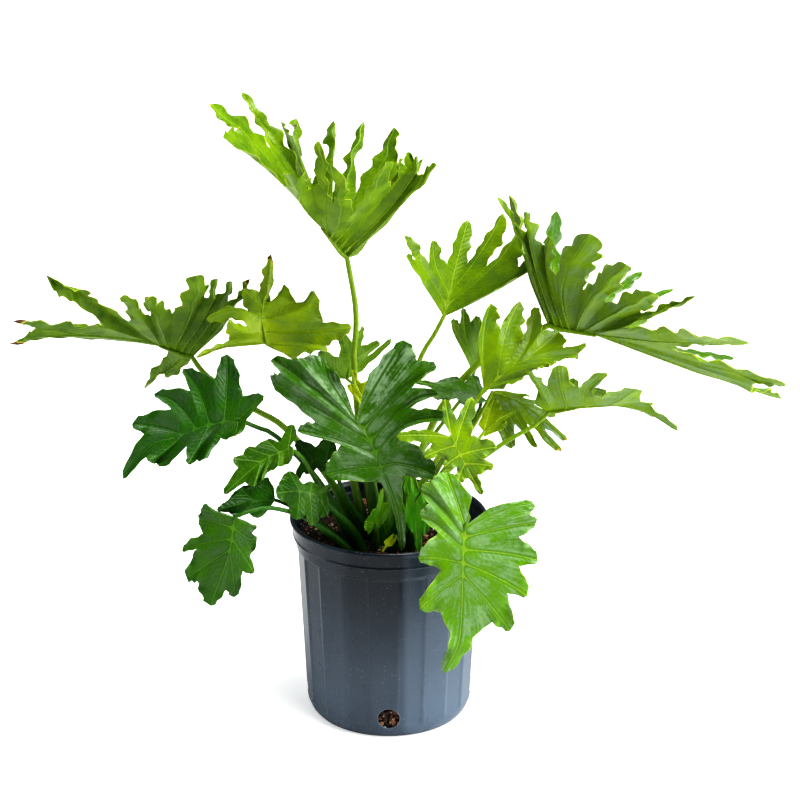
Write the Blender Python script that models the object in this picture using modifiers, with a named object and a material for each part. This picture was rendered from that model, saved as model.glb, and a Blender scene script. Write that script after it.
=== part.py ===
"""A lacy tree philodendron in a round plastic nursery pot. Metres, +Z up, origin at the middle of the pot's underside.

Each leaf is one node: a lobed blade and the stalk that carries it, whose foot stands in a hole in the soil.
A leaf's points are given as (across, down, depth): where the point is seen from the front, in the units
of a view 800 wide and 800 high, and how far it lies behind the pot's axis, in centimetres.
"""

import math
import random

import bmesh
import bpy
from mathutils import Vector

# The pot
LIP_RADIUS = 0.127
POT_HEIGHT = 0.2676
LIP_DEPTH = 0.0065
COLLAR_DEPTH = 0.024
BAND_DEPTH = 0.039
COLLAR_RADIUS = 0.1225
BAND_RADIUS = 0.1195
BODY_TOP_RADIUS = 0.1175
HEEL_RADIUS = 0.107
HEEL_HEIGHT = 0.018
FOOT_RADIUS = 0.0975
WALL = 0.0045
FLOOR = 0.0025
TURN_STEPS = 40
PANELS = 20
PANEL_START = math.radians(6)
PANEL_RECESS = 0.0011
DRAIN_HOLES = 4
DRAIN_RADIUS = 0.014
DRAIN_HEIGHT = 0.0295

# The soil
SOIL_BELOW_LIP = 0.027
SOIL_MOUND = 0.004
CLEARANCE = 0.0003
HOLE_CLEARANCE = 0.0005
FOOT_IN_SOIL = 0.024

# The crown, where the stalks come out of the soil
CROWN = Vector((-0.006, -0.032, 0))

# The blades
BLADE_THICKNESS = 0.001
SHORTEST_EDGE = 0.00003
RIB_FROM_NOTCH = 0.3
ROWS_TO_NOTCH = 1
ROWS_TO_TIP = 4
SMALL_LEAF_PAIRS = 2
SMALL_LEAF_ROWS_TO_TIP = 3
COLUMNS = 1
STALK_STEP = 0.06
FEWEST_STALK_STEPS = 3

# The front view that the leaves' points are given in
EYE = Vector((0.0143, -2.949, 1.5226))
EYE_DIP = math.radians(20.44)
EYE_FOCUS = 2500
VIEW_MIDDLE = 400
CENTIMETRE = 0.01
MILLIMETRE = 0.001

DARK = (0.012, 0.090, 0.006, 1)
DEEP = (0.010, 0.075, 0.012, 1)
GREEN = (0.060, 0.230, 0.010, 1)
BRIGHT = (0.150, 0.380, 0.012, 1)
LIME = (0.300, 0.520, 0.015, 1)
YELLOW = (0.500, 0.560, 0.030, 1)

LEAVES = [
    dict(
        name="leaf_top",
        colour=LIME,
        junction=(347, 258, 4),
        midrib=[(300, 200, 2.4), (252, 140, 1.6), (209, 104, 1)],
        left=[
            (437, 165, 0), (417, 156, -2), (400, 158, -4), (386, 162, -6),
            (330, 165, -8), (319, 141, -8), (298, 179, -8.4), (223, 137, -4),
        ],
        left_notches=[
            (416, 173), (404, 174), (391, 186), (354, 212),
            (333, 203), (311, 190), (286, 187), (242, 133),
        ],
        left_shoulder=(386, 225),
        left_bends={4: (341, 208), 5: (325, 195), 7: (268, 168)},
        left_widths={4: 0.7, 5: 0.6, 6: 1.1, 7: 1.1, 8: 1.0},
        right=[
            (423, 159, 9), (409, 152, 12), (394, 127, 15), (364, 121, 17),
            (334, 120, 17), (297, 119, 16), (281, 121, 13), (242, 92, 8),
        ],
        right_notches=[
            (412, 172), (397, 172), (356, 193), (331, 197),
            (312, 184), (292, 136), (300, 182), (271, 149),
        ],
        right_widths={7: 0.9},
        right_bends={2: (374, 180), 3: (350, 172), 4: (331, 152), 5: (300, 160), 6: (297, 156), 7: (280, 152)},
        upper=(0.5, 0, 1),
        reach=0.25,
        cut=0.5,
        lobe_width=0.5,
        stalk=[(355, 303, 3.4), (356, 330, 2.4), (354, 365, 1.2), (362, 450, -0.8)],
        stalk_radius=(5.0, 3.2),
        root=(120, 13),
    ),
    dict(
        name="leaf_far_left",
        colour=GREEN,
        junction=(192, 357, 8),
        midrib=[(140, 340, 7.4), (60, 329, 5.4), (13, 321, 3)],
        left=[
            (250, 279, 6.4), (230, 281, 4), (216, 279, 1.6), (198, 275, 0),
            (146, 297, -1), (124, 295, -1.4), (46, 275, -1),
        ],
        left_notches=[(228, 302), (214, 300), (205, 298), (172, 314), (150, 316), (129, 322), (106, 327)],
        left_shoulder=(222, 330),
        left_bends={6: (82, 298)},
        left_widths={3: 0.9, 4: 0.9, 5: 0.8, 6: 0.75},
        right=[
            (168, 378, 11), (144, 388, 12), (154, 324, 19), (126, 324, 22),
            (100, 322, 22), (74, 324, 17), (9, 344, 7),
        ],
        right_notches=[(165, 373), (168, 352), None, None, None, None, (46, 330)],
        right_shoulder=(188, 364),
        right_bends={6: (60, 333)},
        upper=(0, 0.3, 1),
        reach=0.25,
        cut=0.5,
        lobe_width=0.65,
        stalk=[(202, 371, 7.6), (215, 382, 7), (254, 409, 5.6), (285, 428, 3.6), (330, 480, 0)],
        stalk_radius=(5.0, 3.2),
        root=(150, 37),
    ),
    dict(
        name="leaf_arched_left",
        colour=BRIGHT,
        junction=(267, 344, 2),
        midrib=[(262, 320, 2.6), (265, 290, 4), (271, 254, 6)],
        left=[(196, 358, -2), (229, 320, -1), (206, 319, 1), (243, 289, 4)],
        left_notches=[(229, 340), (247, 326), (248, 311), (259, 292)],
        left_shoulder=(232, 347),
        left_bends={0: (231, 344), 2: (236, 304)},
        right=[(314, 351, -2), (352, 327, 1), (314, 291, 4), (284, 284, 6)],
        right_notches=[(326, 346), (322, 322), (295, 303), (271, 304)],
        right_shoulder=(288, 355),
        upper=(0.2, 0.4, 1),
        reach=0.5,
        cut=0.5,
        lobe_width=0.8,
        stalk=[(294, 358, 1.6), (318, 390, 1), (345, 450, -0.6)],
        stalk_radius=(4.6, 2.8),
        root=(150, 26),
    ),
    dict(
        name="leaf_small_cup",
        colour=LIME,
        junction=(347, 379, 6),
        midrib=[(352, 352, 7), (363, 326, 9)],
        left=[(318, 352, 4), (342, 333, 5.5)],
        right=[(392, 339, 9), (380, 343, 10)],
        upper=(0, 0.3, 1),
        reach=0.4,
        cut=0.5,
        stalk=[(356, 388, 5.4), (366, 420, 4), (372, 480, 1)],
        stalk_radius=(3.6, 2.2),
        root=(115, 30),
    ),
    dict(
        name="leaf_yellow",
        colour=YELLOW,
        junction=(366, 403, -0.8),
        midrib=[(358, 388, -1.2), (352, 370, -1.8)],
        left=[(347, 386, -1.8)],
        right=[(370, 382, -0.8)],
        upper=(0, -1, 0.4),
        reach=0.3,
        cut=0.6,
        stalk=[(369, 425, -0.8), (374, 480, -2)],
        stalk_radius=(3.0, 1.8),
        root=(90, 1),
    ),
    dict(
        name="leaf_middle_left",
        colour=DARK,
        junction=(238, 419, -6),
        midrib=[(200, 428, -7), (160, 446, -8.6), (123, 479, -10)],
        left=[(264, 396, -5), (227, 354, -3.4), (183, 369, -4.4), (154, 394, -6), (132, 424, -8)],
        left_notches=[(243, 396), (214, 380), (190, 391), (171, 409), (144, 434)],
        left_shoulder=(248, 418),
        right=[(235, 436, -8), (204, 459, -10), (188, 464, -10), (166, 466, -10), (147, 459, -10.4)],
        right_notches=[(221, 438), (197, 459), (187, 446), (156, 463), (152, 452)],
        upper=(0, -1, 0.6),
        reach=0.72,
        cut=0.5,
        lobe_width=1,
        stalk=[(256, 427, -5), (277, 437, -3.8), (318, 480, -1.6)],
        stalk_radius=(4.4, 2.6),
        root=(188, 37),
    ),
    dict(
        name="leaf_yellow_green",
        colour=GREEN,
        junction=(288, 449, -8),
        midrib=[(262, 461, -9), (224, 494, -11)],
        left=[(292, 424, -7), (266, 440, -7.6), (248, 447, -8.4), (233, 459, -9.4)],
        left_notches=[(280, 442), (255, 447), (243, 455), (238, 468)],
        right=[(290, 462, -9), (278, 466, -9.6), (262, 480, -10.4), (254, 486, -11)],
        right_notches=[(284, 465), (268, 472), (258, 483), (245, 482)],
        upper=(0, -1, 0.6),
        reach=0.6,
        cut=0.5,
        lobe_width=1,
        stalk=[(301, 456, -7.6), (318, 484, -6.6)],
        stalk_radius=(4.0, 2.4),
        root=(204, 38),
    ),
    dict(
        name="leaf_dark_low",
        colour=DARK,
        junction=(275, 500, -9.5),
        midrib=[(248, 502, -10.6), (217, 510, -12)],
        left=[(267, 477, -8.6), (240, 488, -10)],
        left_notches=[(254, 486), (228, 500)],
        left_shoulder=(274, 488),
        right=[(257, 518, -10.8), (238, 517, -11.4)],
        right_notches=[(249, 513), (228, 512)],
        right_shoulder=(268, 510),
        upper=(0, -1, 0.6),
        reach=0.55,
        cut=0.6,
        stalk=[(288, 505, -9), (318, 522, -7.2)],
        stalk_radius=(3.6, 2.2),
        root=(196, 50),
    ),
    dict(
        name="leaf_low_left",
        colour=GREEN,
        junction=(235, 517, -13),
        midrib=[(231, 545, -14), (223, 575, -14.6), (211, 606, -15)],
        left=[(206, 503, -12.4), (199, 519, -12.8), (182, 551, -13.6), (187, 579, -14.4)],
        left_notches=[(201, 511), (203, 533), (197, 549), (197, 581)],
        left_shoulder=(220, 512),
        right=[(257, 526, -12.6), (257, 539, -13), (254, 573, -14), (235, 597, -14.8)],
        right_notches=[(252, 533), (250, 556), (243, 571), (226, 590)],
        right_shoulder=(246, 521),
        upper=(0, -1, 0.4),
        reach=0.7,
        cut=0.5,
        lobe_width=1,
        stalk=[(247, 512, -12.4), (272, 508, -11), (310, 520, -8.6)],
        stalk_radius=(3.8, 2.4),
        root=(214, 51),
    ),
    dict(
        name="leaf_over_rim",
        colour=GREEN,
        junction=(319, 496, -8.6),
        midrib=[(300, 491, -9.6), (276, 493, -10.6)],
        left=[(331, 484, -8), (313, 482, -8.2), (289, 471, -9)],
        left_notches=[(322, 488), (303, 484), (279, 483)],
        right=[(328, 515, -9.2), (312, 526, -10), (297, 520, -10.6)],
        right_notches=[(319, 517), (305, 514), (287, 504)],
        upper=(0, -1, 0.6),
        reach=0.6,
        cut=0.55,
        lobe_width=1,
        stalk=[(334, 510, -8), (350, 526, -7)],
        stalk_radius=(3.8, 2.4),
        root=(226, 38),
    ),
    dict(
        name="leaf_dark_behind",
        colour=DARK,
        junction=(326, 462, -4.8),
        midrib=[(312, 460, -5.5), (296, 481, -6.8)],
        left=[(330, 436, -4.2), (296, 441, -5)],
        right=[(322, 472, -5.6), (308, 474, -6.3)],
        upper=(0, -1, 0.6),
        reach=0.55,
        cut=0.6,
        lobe_width=1,
        stalk=[(334, 470, -5), (350, 505, -4.2)],
        stalk_radius=(3.6, 2.2),
        root=(180, 13),
    ),
    dict(
        name="leaf_front",
        colour=DEEP,
        junction=(356, 420, -6),
        midrib=[(371, 444, -7.6), (385, 477, -9), (397, 513, -9.8), (402, 553, -10.2)],
        left=[(322, 357, -3.6), (272, 359, -4.4), (272, 383, -5.4), (297, 431, -7.6), (325, 475, -9.4)],
        left_notches=[(297, 360), (281, 373), (315, 422), (341, 445), (381, 483)],
        left_shoulder=(345, 388),
        right=[(403, 340, -2.6), (437, 367, -3.6), (440, 394, -4.8), (451, 419, -6), (437, 476, -8.6)],
        right_notches=[(417, 361), (412, 388), (411, 408), (397, 435), (402, 477)],
        right_shoulder=(369, 374),
        upper=(0, -1, 0.6),
        reach=0.6,
        cut=0.5,
        lobe_width=1,
        stalk=[(362, 432, -5), (370, 470, -3.8), (376, 510, -3.6)],
        stalk_radius=(5.0, 3.0),
        root=(240, 13),
    ),
    dict(
        name="leaf_dark_right",
        colour=GREEN,
        junction=(481, 396, 5),
        midrib=[(450, 388, 3), (414, 381, 1.6)],
        left=[(472, 375, 6), (451, 377, 4)],
        right=[(464, 405, 3), (434, 398, 1.8)],
        upper=(0, -1, 0.6),
        reach=0.6,
        cut=0.6,
        stalk=[(478, 412, 6), (446, 455, 5), (402, 510, 0.6)],
        stalk_radius=(3.8, 2.2),
        root=(64, 27),
    ),
    dict(
        name="leaf_upper_middle",
        colour=LIME,
        junction=(444, 316, 9),
        midrib=[(455, 270, 12), (468, 220, 16)],
        left=[(406, 256, 7), (404, 235, 8), (433, 240, 11)],
        left_notches=[(417, 261), (429, 264), (447, 264)],
        left_shoulder=(423, 284),
        left_bends={1: (421, 266), 2: (437, 268)},
        right=[(534, 268, 10), (520, 229, 12), (503, 213, 14)],
        right_notches=[(518, 266), (486, 267), (467, 264)],
        right_shoulder=(490, 293),
        right_bends={2: (479, 254)},
        upper=(0, -1, 1),
        reach=0.3,
        cut=0.5,
        lobe_width=1.1,
        stalk=[(434, 335, 8.4), (420, 359, 7.4), (400, 420, 4.8), (388, 490, 1)],
        stalk_radius=(4.4, 2.6),
        root=(60, 13),
    ),
    dict(
        name="leaf_far_right",
        colour=BRIGHT,
        junction=(549, 325, 8),
        midrib=[(620, 340, 8), (700, 362, 8), (786, 384, 6)],
        left=[
            (497, 197, 3), (526, 212, 2), (551, 239, 0), (591, 234, -2),
            (627, 265, -3), (654, 293, -3), (696, 296, -2), (750, 343, 1),
        ],
        left_notches=[
            (526, 232), (543, 245), (556, 278), (583, 290),
            (606, 303), (641, 313), (622, 328), (668, 346),
        ],
        left_shoulder=(533, 275),
        left_bends={0: (526, 262), 3: (561, 279), 4: (592, 299), 5: (612, 308), 6: (646, 315), 7: (684, 341)},
        left_widths={3: 1.3, 4: 1.0, 5: 0.9, 6: 0.9, 7: 1.1, 8: 0.8},
        right=[
            (509, 195, 10), (557, 211, 19), (586, 257, 24), (642, 272, 25),
            (674, 289, 25), (645, 317, 22), (734, 358, 18), (781, 399, 10),
        ],
        right_notches=[None, None, None, None, None, None, None, (752, 385)],
        right_shoulder=(540, 285),
        upper=(0, 0.3, 1),
        reach=0.22,
        cut=0.42,
        lobe_width=0.6,
        stalk=[(518, 341, 7.6), (480, 362, 7.4), (440, 410, 5.8), (412, 480, 1.6)],
        stalk_radius=(5.0, 4.0),
        root=(35, 37),
    ),
    dict(
        name="leaf_lime_right",
        colour=LIME,
        junction=(484, 390, 0),
        midrib=[(525, 360, 0), (586, 343, 1)],
        left=[(491, 303, 4), (520, 301, 5), (534, 307, 6.5), (559, 332, 4)],
        left_notches=[(500, 330), (519, 345), (541, 332), (564, 348)],
        left_shoulder=(477, 342),
        left_bends={0: (483, 340), 1: (505, 332), 2: (526, 342)},
        right=[(513, 384, -3), (538, 367, -4), (551, 366, -4), (574, 358, -2)],
        right_notches=[(523, 377), (542, 367), (556, 361), (578, 354)],
        right_shoulder=(497, 389),
        upper=(0, -0.2, 1),
        reach=0.55,
        cut=0.5,
        lobe_width=1,
        stalk=[(470, 410, 0), (440, 455, -0.6), (405, 510, -2.2)],
        stalk_radius=(4.4, 2.6),
        root=(0, 13),
    ),
    dict(
        name="leaf_dark_back",
        colour=GREEN,
        junction=(476, 366, 11),
        midrib=[(466, 338, 11.6), (463, 308, 12.4)],
        left=[(451, 321, 11)],
        right=[(480, 317, 13)],
        upper=(0, -1, 0.4),
        reach=0.4,
        cut=0.7,
        lobe_width=1,
        stalk=[(466, 392, 10), (430, 440, 7), (398, 490, 3.4)],
        stalk_radius=(3.4, 2.0),
        root=(62, 37),
    ),
    dict(
        name="leaf_low_right",
        colour=BRIGHT,
        junction=(549, 412, -4),
        midrib=[(590, 407, -4), (638, 408, -4), (678, 431, -4)],
        left=[(526, 371, -7), (559, 365, -8), (607, 373, -9), (637, 389, -8)],
        left_notches=[(547, 386), (576, 388), (592, 395), (640, 402)],
        left_shoulder=(540, 393),
        right=[(542, 386, 1), (573, 378, 3), (598, 388, 4), (652, 403, 1)],
        upper=(0, 0.3, 1),
        reach=0.5,
        cut=0.5,
        lobe_width=1,
        stalk=[(535, 425, -4.2), (498, 447, -4.6), (440, 492, -5)],
        stalk_radius=(4.2, 2.4),
        root=(348, 38),
    ),
    dict(
        name="leaf_drooping_right",
        colour=BRIGHT,
        junction=(492, 392, 6),
        midrib=[(520, 402, 5), (546, 420, 4), (568, 440, 3.4)],
        left=[(530, 396, 7), (543, 402, 6), (556, 415, 5)],
        right=[(511, 449, 4), (537, 448, 3), (562, 451, 3)],
        right_notches=[(515, 424), (527, 424), (545, 429)],
        upper=(0, -1, 1),
        reach=0.4,
        cut=0.55,
        stalk=[(484, 408, 5), (455, 455, 2.6), (416, 508, -1.6)],
        stalk_radius=(4.0, 2.4),
        root=(30, 26),
    ),
    dict(
        name="leaf_small_right",
        colour=LIME,
        junction=(484, 432, -1),
        midrib=[(498, 420, -0.8), (516, 411, -0.4)],
        left=[(495, 398, 0)],
        right=[(506, 426, -1)],
        upper=(0, -1, 0.6),
        reach=0.4,
        cut=0.6,
        stalk=[(468, 452, -1.4), (430, 492, -2.8)],
        stalk_radius=(3.4, 2.0),
        root=(0, 26),
    ),
    dict(
        name="leaf_glossy_young",
        colour=LIME,
        junction=(452, 437, -9.6),
        midrib=[(462, 458, -10.2), (482, 495, -11.2)],
        left=[(396, 436, -10.4), (424, 457, -10.8), (444, 467, -11), (458, 482, -11.2)],
        right=[(445, 399, -8.2), (472, 397, -7.8), (497, 447, -9.6), (494, 466, -10.6)],
        upper=(0, -1, 0.6),
        reach=0.55,
        cut=0.5,
        lobe_width=1,
        stalk=[(446, 455, -8.8), (424, 495, -6.8)],
        stalk_radius=(3.8, 2.2),
        root=(330, 26),
    ),
    dict(
        name="leaf_front_right",
        colour=BRIGHT,
        junction=(465, 526, -14.5),
        midrib=[(463, 560, -15.8), (462, 610, -16.8), (458, 645, -17.2), (444, 673, -17.4)],
        left=[(446, 472, -12.4), (421, 491, -13), (420, 516, -14), (418, 558, -15.6), (420, 609, -16.8)],
        left_notches=[(431, 481), (429, 504), (438, 533), (441, 570), (440, 612)],
        left_shoulder=(472, 497),
        left_widths={5: 0.45},
        right=[(532, 501, -13), (536, 523, -14), (538, 560, -15), (527, 596, -16.2), (510, 631, -17)],
        right_notches=[(530, 515), (519, 537), (519, 566), (507, 593), (492, 622)],
        right_shoulder=(489, 508),
        upper=(0, -1, 0.4),
        reach=0.6,
        cut=0.5,
        lobe_width=1,
        stalk=[(468, 514, -13.4), (452, 503, -11), (434, 512, -8)],
        stalk_radius=(4.2, 2.6),
        root=(320, 39),
    ),
    dict(
        name="leaf_crown_left",
        colour=BRIGHT,
        junction=(376, 525, -7.6),
        midrib=[(380, 508, -8), (383, 488, -8)],
        left=[(365, 521, -8)],
        right=[(389, 506, -7.4)],
        upper=(0, -1, 0.6),
        reach=0.4,
        cut=0.6,
        stalk=[(376, 535, -7)],
        stalk_radius=(3.0, 2.0),
        root=(243, 27),
    ),
    dict(
        name="leaf_crown_right",
        colour=GREEN,
        junction=(416, 500, -8.4),
        midrib=[(416, 528, -9.3), (419, 555, -10.1)],
        left=[(405, 520, -9.1)],
        right=[(431, 526, -9.2)],
        upper=(0, -1, 0.4),
        reach=0.4,
        cut=0.7,
        lobe_width=1,
        stalk=[(412, 508, -7.8), (406, 528, -6.8)],
        stalk_radius=(3.0, 2.0),
        root=(292, 31),
    ),
    dict(
        name="leaf_crown_back",
        colour=GREEN,
        junction=(410, 475, -4.6),
        midrib=[(411, 490, -5.4), (413, 508, -6)],
        left=[(404, 492, -5.4)],
        right=[(419, 493, -5.4)],
        upper=(0, -1, 0.4),
        reach=0.4,
        cut=0.7,
        lobe_width=1,
        stalk=[(408, 484, -3.8), (402, 510, -3.8)],
        stalk_radius=(2.8, 1.8),
        root=(300, 13),
    ),
    dict(
        name="leaf_crown_front",
        colour=LIME,
        junction=(394, 536, -8.4),
        midrib=[(388, 544, -9), (382, 552, -9.4)],
        left=[(392, 546, -9)],
        right=[(384, 542, -8.6)],
        upper=(0, -1, 0.6),
        reach=0.4,
        cut=0.6,
        stalk=[(398, 543, -7.6)],
        stalk_radius=(2.6, 1.6),
        root=(272, 27),
    ),
]


def seen(across, down, depth):
    """The point on the line of sight through this place in the view that lies this many centimetres back."""
    ahead = Vector((0, math.cos(EYE_DIP), -math.sin(EYE_DIP)))
    upward = Vector((0, math.sin(EYE_DIP), math.cos(EYE_DIP)))
    sight = ahead + Vector((1, 0, 0)) * ((across - VIEW_MIDDLE) / EYE_FOCUS)
    sight += upward * ((VIEW_MIDDLE - down) / EYE_FOCUS)
    return EYE + sight * ((depth * CENTIMETRE - EYE.y) / sight.y)


def along(points, fraction):
    """The point this far along a smooth curve through the points, by their spacing."""
    lengths = [(b - a).length for a, b in zip(points, points[1:])]
    left = fraction * sum(lengths)
    span = 0
    while span < len(lengths) - 1 and left > lengths[span]:
        left -= lengths[span]
        span += 1
    u = left / lengths[span]
    a, b = points[span], points[span + 1]
    before = points[span - 1] if span else a * 2 - b
    after = points[span + 2] if span + 2 < len(points) else b * 2 - a
    return 0.5 * (
        a * 2
        + (b - before) * u
        + (before * 2 - a * 5 + b * 4 - after) * u**2
        + (a * 3 - before - b * 3 + after) * u**3
    )


def keyed(values, fraction):
    """The value this far along a list of evenly spaced ones, eased between neighbours."""
    place = fraction * (len(values) - 1)
    first = min(int(place), len(values) - 2)
    ease = place - first
    ease = ease * ease * (3 - 2 * ease)
    return values[first] + (values[first + 1] - values[first]) * ease


class Blade:
    """A lobed blade's surface. Its lobes leave the midrib in pairs, and a notch parts each from the next."""

    def __init__(self, leaf):
        self.leaf = leaf
        self.midrib = [seen(*leaf["junction"])] + [seen(*point) for point in leaf["midrib"]]
        self.tips = {side: [seen(*point) for point in leaf[side]] for side in ("left", "right")}
        self.pairs = len(leaf["left"])
        self.normal = self.upper_side()
        self.notches = {side: self.side_notches(side) for side in ("left", "right")}

    def upper_side(self):
        lengthwise = self.midrib[-1] - self.midrib[0]
        middles = [sum(self.tips[side], Vector()) / self.pairs for side in ("left", "right")]
        normal = lengthwise.cross(middles[1] - middles[0]).normalized()
        return normal if normal.dot(Vector(self.leaf["upper"])) > 0 else -normal

    def station(self, half_steps):
        """How far along the midrib a lobe starts (even half steps) or two lobes meet (odd ones)."""
        return self.leaf["reach"] * max(half_steps, 0) / (2 * self.pairs - 1)

    def rib(self, side, lobe, fraction):
        """A point on the lobe's rib. The terminal lobe's rib is the end of the midrib."""
        if lobe == self.pairs:
            return along(self.midrib, self.leaf["reach"] + (1 - self.leaf["reach"]) * fraction)
        start = along(self.midrib, self.station(2 * lobe))
        tip = self.tips[side][lobe]
        forward = (self.midrib[-1] - self.midrib[0]).normalized()
        bend = (start + tip) / 2 - forward * 0.06 * (tip - start).length
        passed = self.leaf.get(side + "_bends", {}).get(lobe)
        if passed:
            bend = seen(*passed, (start.y + tip.y) / 2 / CENTIMETRE) * 2 - (start + tip) / 2
        return start * (1 - fraction) ** 2 + bend * 2 * fraction * (1 - fraction) + tip * fraction**2

    def side_notches(self, side):
        """The notches from the base on: the first is the shoulder beside the stalk."""
        tips = self.tips[side] + [self.midrib[-1]]
        notches = []
        for lobe in range(self.pairs):
            start = along(self.midrib, self.station(2 * lobe + 1))
            notch = start.lerp((tips[lobe] + tips[lobe + 1]) / 2, self.leaf["cut"])
            given = self.leaf.get(side + "_notches")
            if given and given[lobe]:
                notch = seen(*given[lobe], notch.y / CENTIMETRE)
            notches.append(notch)
        middle = self.rib(side, 0, 0.4)
        shoulder = middle - (notches[0] - middle) * 0.7
        given = self.leaf.get(side + "_shoulder")
        if given:
            shoulder = seen(*given, shoulder.y / CENTIMETRE)
        return [shoulder] + notches

    def edge_shape(self, side, lobe, edge, slenderness):
        """The edge's width and ruffle at even steps from its notch to the tip. Short lobes taper evenly."""
        chance = random.Random(f"{self.leaf['name']} {side} {lobe} {edge}")
        given = self.leaf.get(side + "_widths", {})
        slender_share = min(max((slenderness - 1) / 2, 0), 1)
        slender = slender_share * given.get(lobe, self.leaf.get("lobe_width", 0.8))
        blunt = (1 - slender_share) * given.get(lobe, 1)
        widths = [
            1,
            chance.uniform(0.7, 0.85) * slender + 0.84 * blunt,
            chance.uniform(0.8, 1.05) * slender + 0.7 * blunt,
            chance.uniform(0.65, 0.85) * slender + 0.48 * blunt,
            0,
        ]
        ruffle = [0] + [chance.uniform(-1, 1) for _ in range(3)] + [0]
        return widths, ruffle

    def grid(self, side, lobe, rows_in, rows_out, columns):
        """The lobe's points, in rows from the midrib to the tip, each from its back edge to its fore edge."""
        terminal = lobe == self.pairs
        if terminal:
            ends = (self.notches["left"][-1], self.notches["right"][-1])
            bases = (self.station(2 * lobe - 1),) * 3
        else:
            ends = (self.notches[side][lobe], self.notches[side][lobe + 1])
            bases = (self.station(2 * lobe - 1), self.station(2 * lobe), self.station(2 * lobe + 1))
        start, tip = self.rib(side, lobe, 0), self.rib(side, lobe, 1)
        chord = tip - start
        reached = [min(max((end - start).dot(chord) / chord.length_squared, 0.12), 0.8) for end in ends]
        centre = sum(reached) / 2
        across = ends[1] - ends[0]
        across -= chord * (across.dot(chord) / chord.length_squared)
        place = (self.rib(side, lobe, centre) - ends[0]).dot(across) / across.length_squared
        shift = across * (min(max(place, RIB_FROM_NOTCH), 1 - RIB_FROM_NOTCH) - place)

        def spine(part):
            """The rib, moved sideways where it would pass outside its lobe's two notches."""
            near = part / centre if part < centre else (1 - part) / (1 - centre)
            return self.rib(side, lobe, part) + shift * math.sin(near * math.pi / 2)

        offsets = [end - spine(part) for end, part in zip(ends, reached)]
        width = (offsets[0] - offsets[1]).length / 2
        normal = chord.cross(offsets[1] - offsets[0]).normalized()
        if normal.dot(self.normal) < 0:
            normal = -normal
        slenderness = (1 - centre) * chord.length / width / 2
        shapes = [self.edge_shape(side, lobe, edge, slenderness) for edge in range(2)]
        rows = []
        for row in range(rows_in + rows_out + 1):
            if row <= rows_in:
                part = row / rows_in
                edges = [along(self.midrib, bases[edge * 2]).lerp(ends[edge], part) for edge in range(2)]
                middle = spine(centre * part)
                fold = part
            else:
                part = (row - rows_in) / rows_out
                edges = []
                for edge in range(2):
                    foot = spine(reached[edge] + (1 - reached[edge]) * part)
                    lift = normal * keyed(shapes[edge][1], part) * width * self.leaf.get("ruffle", 0.22)
                    edges.append(foot + offsets[edge] * keyed(shapes[edge][0], part) + lift)
                middle = spine(centre + (1 - centre) * part)
                fold = (keyed(shapes[0][0], part) + keyed(shapes[1][0], part)) / 2
            line = []
            for column in range(-columns, columns + 1):
                edge = 0 if column < 0 else 1
                share = abs(column) / columns
                if row == 0:
                    base = bases[1] + (bases[edge * 2] - bases[1]) * share
                    line.append(along(self.midrib, base))
                    continue
                sink = normal * width * fold * self.leaf.get("fold", 0.18) * (1 - share) ** 2
                line.append(middle.lerp(edges[edge], share) - sink)
            rows.append(line)
        rows[-1] = [tip] * len(rows[-1])
        return rows

    def grids(self, rows_in, rows_out, columns):
        lobes = [(side, lobe) for side in ("left", "right") for lobe in range(self.pairs)]
        lobes.append(("left", self.pairs))
        return [self.grid(side, lobe, rows_in, rows_out, columns) for side, lobe in lobes]


def collection_named(name):
    collection = bpy.data.collections.new(name)
    bpy.context.scene.collection.children.link(collection)
    return collection


def material(name, colour, roughness):
    made = bpy.data.materials.new(name)
    made.use_nodes = True
    shader = made.node_tree.nodes["Principled BSDF"]
    shader.inputs["Base Color"].default_value = colour
    shader.inputs["Roughness"].default_value = roughness
    return made


def object_from(bm, name, collection):
    mesh = bpy.data.meshes.new(name)
    bm.to_mesh(mesh)
    bm.free()
    made = bpy.data.objects.new(name, mesh)
    collection.objects.link(made)
    return made


def evaluated_copy(source, name, collection):
    """A mesh object with the source's modifiers applied and its loose caps joined. The source is removed."""
    bpy.context.view_layer.update()
    graph = bpy.context.evaluated_depsgraph_get()
    mesh = bpy.data.meshes.new_from_object(source.evaluated_get(graph))
    bm = bmesh.new()
    bm.from_mesh(mesh)
    bmesh.ops.remove_doubles(bm, verts=bm.verts, dist=0.000005)
    bm.to_mesh(mesh)
    bm.free()
    made = bpy.data.objects.new(name, mesh)
    made.matrix_world = source.matrix_world
    collection.objects.link(made)
    bpy.data.objects.remove(source)
    made.name = name
    return made


def make_helper(made):
    made.hide_render = True
    made.display_type = "WIRE"


def add_boolean(target, other, operation, solver="EXACT"):
    modifier = target.modifiers.new(operation.title(), "BOOLEAN")
    modifier.operation = operation
    modifier.object = other
    modifier.solver = solver


def turned(name, profile, collection):
    """A solid turned about the Z axis from a profile of (radius, height) points that ends down its outer side."""
    mesh = bpy.data.meshes.new(name)
    mesh.from_pydata([(x, 0, z) for x, z in profile], [(i, i + 1) for i in range(len(profile) - 1)], [])
    source = bpy.data.objects.new(name, mesh)
    collection.objects.link(source)
    screw = source.modifiers.new("Screw", "SCREW")
    screw.steps = TURN_STEPS
    screw.render_steps = TURN_STEPS
    screw.use_merge_vertices = True
    screw.merge_threshold = 0.00001
    return evaluated_copy(source, name, collection)


def wall_radius(height):
    """The pot's outer radius under its bands."""
    share = (height - HEEL_HEIGHT) / (POT_HEIGHT - BAND_DEPTH - HEEL_HEIGHT)
    return HEEL_RADIUS + (BODY_TOP_RADIUS - HEEL_RADIUS) * share


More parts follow.
